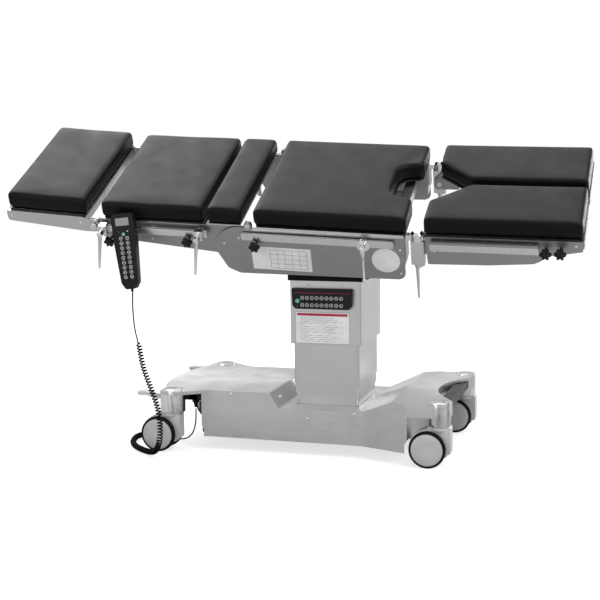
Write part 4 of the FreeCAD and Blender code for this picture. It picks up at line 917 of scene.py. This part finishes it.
for corner in ("fl", "rl", "fr", "rr"):
    low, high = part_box("caster_wheels_" + corner)
    middle = (np.array(low) + np.array(high)) / 2
    pair = middle + np.array([[0, -0.038, 0], [0, 0.038, 0]])
    points, faces = turned(TYRE, pair, "y", closed=True)
    tyre = make_piece("tyre_" + corner, points, faces, "wheels_" + corner, RUBBER)
    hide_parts("caster_wheels_" + corner)
    points, faces = turned(DISC, pair, "y")
    make_piece("wheel_disc_" + corner, points, faces, "wheels_" + corner, WHEEL_DISC)
    points, faces = turned(AXLE, [middle], "y", 32)
    make_piece("wheel_axle_" + corner, points, faces, "wheels_" + corner, BRIGHT)
print("wheels ready")

# %% [markdown]
# The override panel on the column and the handset carry the same ring-marked keys. A small pointer
# on each key stands for its motion.

# %% Panel and handset keys
PANEL_FRONT = -0.162
RING = [(0.0052, -0.0004), (0.0063, -0.0004), (0.0065, -0.0002), (0.0065, 0.0006), (0.0052, 0.0006)]
KEY_DOME = [(0.0050, 0.0004), (0.0050, -0.0003), (0.0042, -0.0008), (0.0023, -0.0011), (0.0, -0.0012)]
PANEL_ROWS = (0.543, 0.518)
PANEL_KEYS = -0.080 + 0.0176 * np.arange(9)
HANDSET_COLUMNS = (-0.013, 0.011)
HANDSET_KEYS = 0.046 - 0.0169 * np.arange(9)
LAMP = [(0.0, -0.0010), (0.0015, -0.0009), (0.0022, -0.0003), (0.0022, 0.0005)]
HANDSET_CENTRE = (-0.6625, -0.331, 0.713)
HANDSET_LEAN = math.radians(-6.1)
HANDSET_FRONT = -0.012


def on_handset(points):
    """Points of the upright handset, leaned to its resting place."""
    return np.asarray(points, float) @ turn_about_y(HANDSET_LEAN).T + HANDSET_CENTRE


def pointers(places, depth, size=0.0026):
    """Small flat triangles, pointing up and down in turn."""
    places = np.asarray(places, float)
    way = np.where(np.arange(len(places)) % 2 == 0, 1.0, -1.0)[:, None]
    angle = np.radians([90, 210, 330])
    corners = np.stack([np.cos(angle), np.sin(angle)], axis=-1) * size
    flat = places[:, None, [0, 2]] + corners[None] * np.stack([np.ones_like(way), way], axis=-1)
    points = np.stack([flat[..., 0], np.full(flat.shape[:2], depth), flat[..., 1]], axis=-1)
    index = np.arange(points.shape[0] * 3).reshape(-1, 3)
    return points.reshape(-1, 3), [tuple(f) for f in index.tolist()]


def key_field(name, places, front, body, place):
    """Ring-marked keys on a front face."""
    places = np.asarray(places, float)
    centres = np.column_stack([places[:, 0], np.full(len(places), front), places[:, 1]])
    points, faces = turned(RING, centres, "y", 32, closed=True)
    make_piece(name + "_rings", place(points), faces, body, WHITE_INK)
    points, faces = turned(KEY_DOME, centres, "y", 24)
    make_piece(name + "_keys", place(points), faces, body, BLACK_PLASTIC)
    points, faces = pointers(centres, front - 0.0014)
    make_piece(name + "_pointers", place(points), faces, body, WHITE_INK, smooth=0)


panel_places = [(x, z) for z in PANEL_ROWS for x in PANEL_KEYS]
key_field("panel", panel_places, PANEL_FRONT, "column", as_is)
handset_places = [(x, z) for x in HANDSET_COLUMNS for z in HANDSET_KEYS]
key_field("handset", handset_places, HANDSET_FRONT, "handset", on_handset)


def plate_piece(name, x, z, front, thick, radius, body, finish, place=as_is):
    """A thin plate with round corners on a face that looks along -Y, standing proud by its thickness."""
    points, faces = slab(round_rectangle(x, z, radius), front - thick, front + 0.0005, "xz")
    return make_piece(name, place(points), faces, body, finish)


stripe_x = (-0.112, 0.094)
stripe_z = (0.5600, 0.5612)
plate_piece("panel_stripe", stripe_x, stripe_z, PANEL_FRONT, 0.0003, 0.0004, "column", RED_INK)
display_x = (-0.0265, 0.0235)
display_z = (0.090, 0.117)
plate_piece(
    "handset_display", display_x, display_z, HANDSET_FRONT, 0.0005, 0.002, "handset", DISPLAY, on_handset
)
for name, centre, body, finish, place in (
    ("panel_lamp", (-0.099, PANEL_FRONT, 0.514), "column", RED_INK, as_is),
    ("handset_lamp_red", (-0.017, HANDSET_FRONT, 0.069), "handset", RED_INK, on_handset),
    ("handset_lamp_white", (0.015, HANDSET_FRONT, 0.069), "handset", WHITE_INK, on_handset),
):
    points, faces = turned(LAMP, [centre], "y", 20)
    make_piece(name, place(points), faces, body, finish)
print("keys", len(panel_places) + len(handset_places))

# %% [markdown]
# Labels carry no words: the instruction sheet on the column has only ruled lines under a red bar,
# and the plates on the side of the seat are bare.

# %% Bare labels
COLUMN_FRONT = -0.148
SEAT_FACE = -0.258


def ruled_lines(rows, left, top, pitch, height, front):
    """Short printed dashes, four rows to a block; the widths follow sines, so that rows differ."""
    row = np.repeat(np.arange(rows), 16)
    step = np.tile(np.arange(16), rows)
    width = 0.0062 + 0.0030 * np.sin(row * 2.7 + step * 1.9)
    start = left + step * 0.0102 + 0.0006 * np.sin(row * 1.3 + step)
    keep = step < 9 + np.round(6 * np.abs(np.sin(row * 1.9 + 0.6)))
    start, width, row = start[keep], width[keep], row[keep]
    z = top - row * pitch - (row // 4) * 0.0035
    zero = np.zeros_like(start)
    corners = np.stack(
        [
            np.stack([start, zero + front, z], axis=-1),
            np.stack([start + width, zero + front, z], axis=-1),
            np.stack([start + width, zero + front, z - height], axis=-1),
            np.stack([start, zero + front, z - height], axis=-1),
        ],
        axis=1,
    )
    index = np.arange(corners.shape[0] * 4).reshape(-1, 4)
    return corners.reshape(-1, 3), [tuple(f) for f in index.tolist()]


for name, x, z, proud, radius, finish in (
    ("instruction_border", (-0.1092, 0.0872), (0.3808, 0.4922), 0.0004, 0.001, GREY_INK),
    ("instruction_sheet", (-0.1084, 0.0864), (0.3816, 0.4914), 0.0005, 0.001, WHITE_FILM),
    ("instruction_bar", (-0.1030, 0.0800), (0.4785, 0.4875), 0.0006, 0.0004, RED_INK),
):
    plate_piece(name, x, z, COLUMN_FRONT, proud, radius, "column", finish)
points, faces = ruled_lines(12, -0.088, 0.4715, 0.0068, 0.0011, COLUMN_FRONT - 0.0007)
make_piece("instruction_lines", points, faces, "column", GREY_INK, smooth=0)
chart_x = (-0.236, -0.025)
chart_z = (-0.038, 0.055)
plate_piece("seat_chart", chart_x, chart_z, SEAT_FACE, 0.0006, 0.002, "top", WHITE_FILM, on_top)


def chart_rules(left, right, low, high, columns, rows, front, thick=0.0009):
    """An empty table: upright and level rules at even steps, each a flat strip."""
    x = np.linspace(left, right, columns + 1)
    z = np.linspace(low, high, rows + 1)
    uprights = np.array([[u - thick / 2, u + thick / 2, low, high] for u in x])
    levels = np.array([[left, right, v - thick / 2, v + thick / 2] for v in z])
    spans = np.vstack([uprights, levels])
    corners = spans[:, [[0, 2], [1, 2], [1, 3], [0, 3]]]
    points = np.insert(corners, 1, front, axis=2)
    index = np.arange(len(spans) * 4).reshape(-1, 4)
    return points.reshape(-1, 3), [tuple(f) for f in index.tolist()]


points, faces = chart_rules(-0.170, -0.040, -0.030, 0.045, 5, 4, SEAT_FACE - 0.0008)
make_piece("seat_chart_rules", on_top(points), faces, "top", GREY_INK, smooth=0)
DISC_PLATE = [(0.048, 0.0004), (0.048, -0.0005), (0.0475, -0.0007), (0.0, -0.0007)]
points, faces = turned(DISC_PLATE, [(0.235, SEAT_FACE, 0.030)], "y", 96)
make_piece("seat_disc_plate", on_top(points), faces, "top", WHITE_FILM)
print("labels ready")

# %% [markdown]
# Small hardware: star grips with round lobes, the turned ring clamp with its hanging post, screws
# and the hinge caps.

# %% Hardware
GRIP = np.array(
    [
        (0.0, 0.0222, 0.0),
        (0.0050, 0.0222, 0.0),
        (0.0058, 0.0214, 0.0),
        (0.0070, 0.0216, 0.0002),
        (0.0118, 0.0212, 0.0020),
        (0.0146, 0.0196, 0.0034),
        (0.0156, 0.0165, 0.0040),
        (0.0158, 0.0110, 0.0042),
        (0.0156, 0.0050, 0.0040),
        (0.0146, 0.0018, 0.0034),
        (0.0120, 0.0004, 0.0020),
        (0.0075, 0.0, 0.0),
        (0.0070, -0.0040, 0.0),
        (0.0048, -0.0044, 0.0),
    ]
)
KNOB_START = 0.276
GRIP_SEGMENTS = 96


def star_grip(name, body, x, z, side, back, place, stands_for):
    """A six-lobed grip on its stem: radius r + w cos 6a at depth h, for each row (r, h, w)."""
    rows = np.vstack([GRIP, [0.0048, back - KNOB_START, 0.0]])
    angle = np.linspace(0, 2 * math.pi, GRIP_SEGMENTS, endpoint=False)
    radius = rows[:, :1] + rows[:, 2:] * np.cos(6 * angle)
    points = np.stack(
        [
            x + radius * np.cos(angle),
            np.broadcast_to(side * (KNOB_START + rows[:, 1:2]), radius.shape),
            z + radius * np.sin(angle),
        ],
        axis=-1,
    )
    faces = grid_faces(len(rows), GRIP_SEGMENTS)
    piece = make_piece(name, place(points.reshape(-1, 3)), faces, body, BLACK_PLASTIC)
    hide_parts(stands_for)


star_grip("seat_grip", "seat_knob", -0.214, 0.071, -1, 0.2584, on_top, "seat_knob")
star_grip("back_grip", "back_knob", -0.457, 0.074, -1, 0.2494, on_top, "back_knob")
star_grip("head_grip", "head_knob", -0.749, 0.057, -1, 0.2494, on_top, "head_knob")
for side, tag in ((-1, "near"), (1, "far")):
    for word, x, z in (("inner", 0.765, 0.101), ("outer", 0.812, 0.103)):
        knob = f"leg_knob_{word}_{tag}"
        star_grip(f"leg_grip_{word}_{tag}", knob, x, z, side, 0.2544, on_leg, knob)

RING_FACE = -0.2733
RING_X = 0.166
RING_Z = 0.100
ring_profile = [
    (0.008, 0.0),
    (0.0225, 0.0),
    (0.0225, -0.0100),
    (0.0215, -0.0112),
    (0.0180, -0.0112),
    (0.0172, -0.0105),
    (0.0172, -0.0140),
    (0.0162, -0.0152),
    (0.0100, -0.0156),
    (0.0085, -0.0150),
    (0.0080, -0.0140),
]
points, faces = turned(ring_profile, [(RING_X, RING_FACE, RING_Z)], "y", 64, closed=True)
ring = make_piece("ring_turned", on_top(points), faces, "top", CHROME)
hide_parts("ring_clamp")
POST_Y = -0.298
post_profile = [
    (0.0, 0.104),
    (0.0065, 0.103),
    (0.0078, 0.098),
    (0.0078, 0.078),
    (0.0062, 0.074),
    (0.0062, 0.058),
    (0.0048, 0.056),
    (0.0036, 0.052),
    (0.0036, -0.018),
    (0.0050, -0.020),
    (0.0066, -0.026),
    (0.0070, -0.030),
    (0.0066, -0.034),
    (0.0040, -0.0365),
    (0.0, -0.037),
]
points, faces = turned(post_profile, [(RING_X, POST_Y, 0.0)], "z", 40)
hub_profile = [
    (0.0, -0.0305),
    (0.0040, -0.0300),
    (0.0072, -0.0280),
    (0.0075, -0.0260),
    (0.0075, -0.0084),
    (0.0, -0.0084),
]
hub_points, hub_faces = turned(hub_profile, [(RING_X, -0.273, RING_Z)], "y", 40)
faces += [tuple(i + len(points) for i in face) for face in hub_faces]
points = on_top(np.vstack([points, hub_points]))
post = make_piece("ring_post", points, faces, "ring_rod", CHROME)
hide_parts("ring_clamp_rod")

SLEEVE = [
    (0.0, 0.2205),
    (0.0290, 0.2205),
    (0.0300, 0.2199),
    (0.0352, 0.2198),
    (0.0374, 0.2188),
    (0.0380, 0.2172),
    (0.0380, 0.1410),
    (0.0370, 0.1392),
    (0.0300, 0.1390),
]
sleeve_places = [(x, y, 0.0) for x in (-0.525, 0.426) for y in (-0.267, 0.267)]
points, faces = turned(SLEEVE, sleeve_places, "z", 96)
# The sleeves carry the bosses' painted reflection bands.
make_piece("boss_sleeves", points, faces, "base", BOSS_REFLECTION_BANDS)
# A bright steel strip along the seat plate's top edge: it stands for the plate's turned edge, and its brighter
# finish is a painted highlight along it.
edge_highlight_strip = round_rectangle((-0.222, 0.299), (0.1212, 0.1338), 0.001)
points, faces = slab(edge_highlight_strip, -0.2589, -0.2566)
make_piece("seat_edge_highlight_strip", on_top(points), faces, "top", BRIGHT)

LEG_RAIL = round_rectangle((0.389, 0.743), (0.088, 0.113), 0.002)
for side, tag in ((-1, "near"), (1, "far")):
    points, faces = slab(LEG_RAIL, side * 0.2700, side * 0.2738)
    make_piece("leg_rail_face_" + tag, on_leg(points), faces, "leaf_" + tag, BRIGHT)

SIDE_SHEET = -0.240
SEAM_X = 0.145
seam = round_rectangle((SEAM_X - 0.0007, SEAM_X + 0.0007), (0.050, 0.152), 0)
points, faces = slab(seam, SIDE_SHEET - 0.0004, SIDE_SHEET + 0.0005)
make_piece("side_seam", points, faces, "base", DARK_PAINT, smooth=0)

SCREW = [
    (0.0, -0.0022),
    (0.0022, -0.0022),
    (0.0023, -0.0016),
    (0.0042, -0.0016),
    (0.0048, -0.0010),
    (0.0048, 0.0006),
]


def screws(name, places, face, body, place, scale):
    """Round-headed screws on a face that looks along -Y."""
    centres = [(x, face, z) for x, z in places]
    points, faces = turned(np.array(SCREW) * scale, centres, "y", 28)
    make_piece(name, place(points), faces, body, BRIGHT)


SEAT_SCREWS = [(-0.276, 0.086), (-0.331, 0.060), (0.285, 0.075), (0.285, -0.020)]
SIDE_STUDS = [(-0.3236, 0.2036), (-0.1409, 0.2049), (-0.0437, 0.1298), (0.1245, 0.1526)]
for name, places, face, body, place, scale in (
    ("seat_screws", SEAT_SCREWS, SEAT_FACE, "top", on_top, 1.0),
    ("back_screws", [(-0.775, 0.075), (-0.6, 0.055), (-0.3, 0.1)], -0.249, "back", on_top, 1.0),
    ("head_screws", [(-1.125, 0.112), (-0.86, 0.108)], -0.256, "head", on_head, 1.2),
    ("leg_screws", [(0.4, 0.075), (0.86, 0.114)], -0.254, "leaf_near", on_leg, 1.0),
    ("hinge_caps", [(-0.24, 0.135)], SEAT_FACE, "top", on_top, 1.8),
    ("head_hinge_cap", [(-0.812, 0.1)], -0.2595, "back", on_top, 2.6),
    ("side_studs", SIDE_STUDS, SIDE_SHEET, "base", as_is, 1.3),
    ("column_screws", [(-0.06, 0.588), (0.058, 0.588)], COLUMN_FRONT, "column", as_is, 0.8),
):
    screws(name, places, face, body, place, scale)
print("hardware ready")

# %% [markdown]
# The studio: a pale floor that runs to the horizon, an even white surround and a few large soft
# lamps. The floor glows a little for the camera alone, which keeps it white and still keeps the
# table's shadow.

# %% Studio
FLOOR_GLOW = 0.70
FLOOR_HEIGHT = -0.0005


def studio_floor():
    """A large square sheet under the casters."""
    reach = 30.0
    square = round_rectangle((-reach, reach), (-reach, reach), 0)
    points = np.insert(square, 2, FLOOR_HEIGHT, axis=1)
    floor = make_piece("studio_floor", points, [(0, 1, 2, 3)], None, None, smooth=0)
    material, tree, shader = base_material("studio_floor")
    shader.inputs["Base Color"].default_value = (0.50, 0.50, 0.50, 1)
    shader.inputs["Roughness"].default_value = 0.9
    shader.inputs["Specular IOR Level"].default_value = 0.1
    rays = add(tree, "ShaderNodeLightPath")
    glow = add(tree, "ShaderNodeMath", operation="MULTIPLY")
    glow.inputs[1].default_value = FLOOR_GLOW
    tree.links.new(rays.outputs["Is Camera Ray"], glow.inputs[0])
    tree.links.new(glow.outputs[0], shader.inputs["Emission Strength"])
    shader.inputs["Emission Color"].default_value = (1, 1, 1, 1)
    floor.data.materials.append(material)
    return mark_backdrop(floor)


def studio_world(level):
    """An even surround that gives light at one level and shows white to the camera."""
    world = bpy.data.worlds.new("studio")
    bpy.context.scene.world = world
    world.use_nodes = True
    tree = world.node_tree
    back = tree.nodes["Background"]
    back.inputs["Color"].default_value = (1, 1, 1, 1)
    rays = add(tree, "ShaderNodeLightPath")
    strength = add(tree, "ShaderNodeMapRange")
    strength.inputs["To Min"].default_value = level
    strength.inputs["To Max"].default_value = 1.0
    tree.links.new(rays.outputs["Is Camera Ray"], strength.inputs["Value"])
    tree.links.new(strength.outputs["Result"], back.inputs["Strength"])


def soft_lamp(name, place, aim, size, power):
    """A square area lamp that faces its aim."""
    data = bpy.data.lights.new(name, "AREA")
    data.size = size
    data.energy = power
    lamp = bpy.data.objects.new(name, data)
    bpy.context.collection.objects.link(lamp)
    ahead = np.array(aim, float) - np.array(place, float)
    ahead /= np.linalg.norm(ahead)
    right = np.cross(ahead, [0, 0, 1])
    right /= np.linalg.norm(right)
    turn = np.eye(4)
    turn[:3, :3] = np.column_stack([right, np.cross(right, ahead), -ahead])
    turn[:3, 3] = place
    lamp.matrix_world = Matrix(turn.tolist())
    return lamp


studio_floor()
studio_world(0.62)
soft_lamp("key_lamp", (2.6, -1.6, 3.6), (0, 0, 0.6), 2.0, 85)
soft_lamp("head_box", (-2.6, 1.7, 3.9), (-0.9, 0, 0.9), 2.4, 92)
soft_lamp("top_box", (0.0, 1.8, 3.9), (0, 0, 0.9), 2.6, 47)
soft_lamp("front_fill", (-2.4, -4.3, 1.5), (-0.1, 0, 0.3), 2.2, 31)
soft_lamp("side_strip", (2.3, 3.4, 1.3), (0.1, 0, 0.5), 1.6, 48)
print("studio ready")

# %% The finished scene
bpy.context.scene.view_settings.view_transform = "Standard"
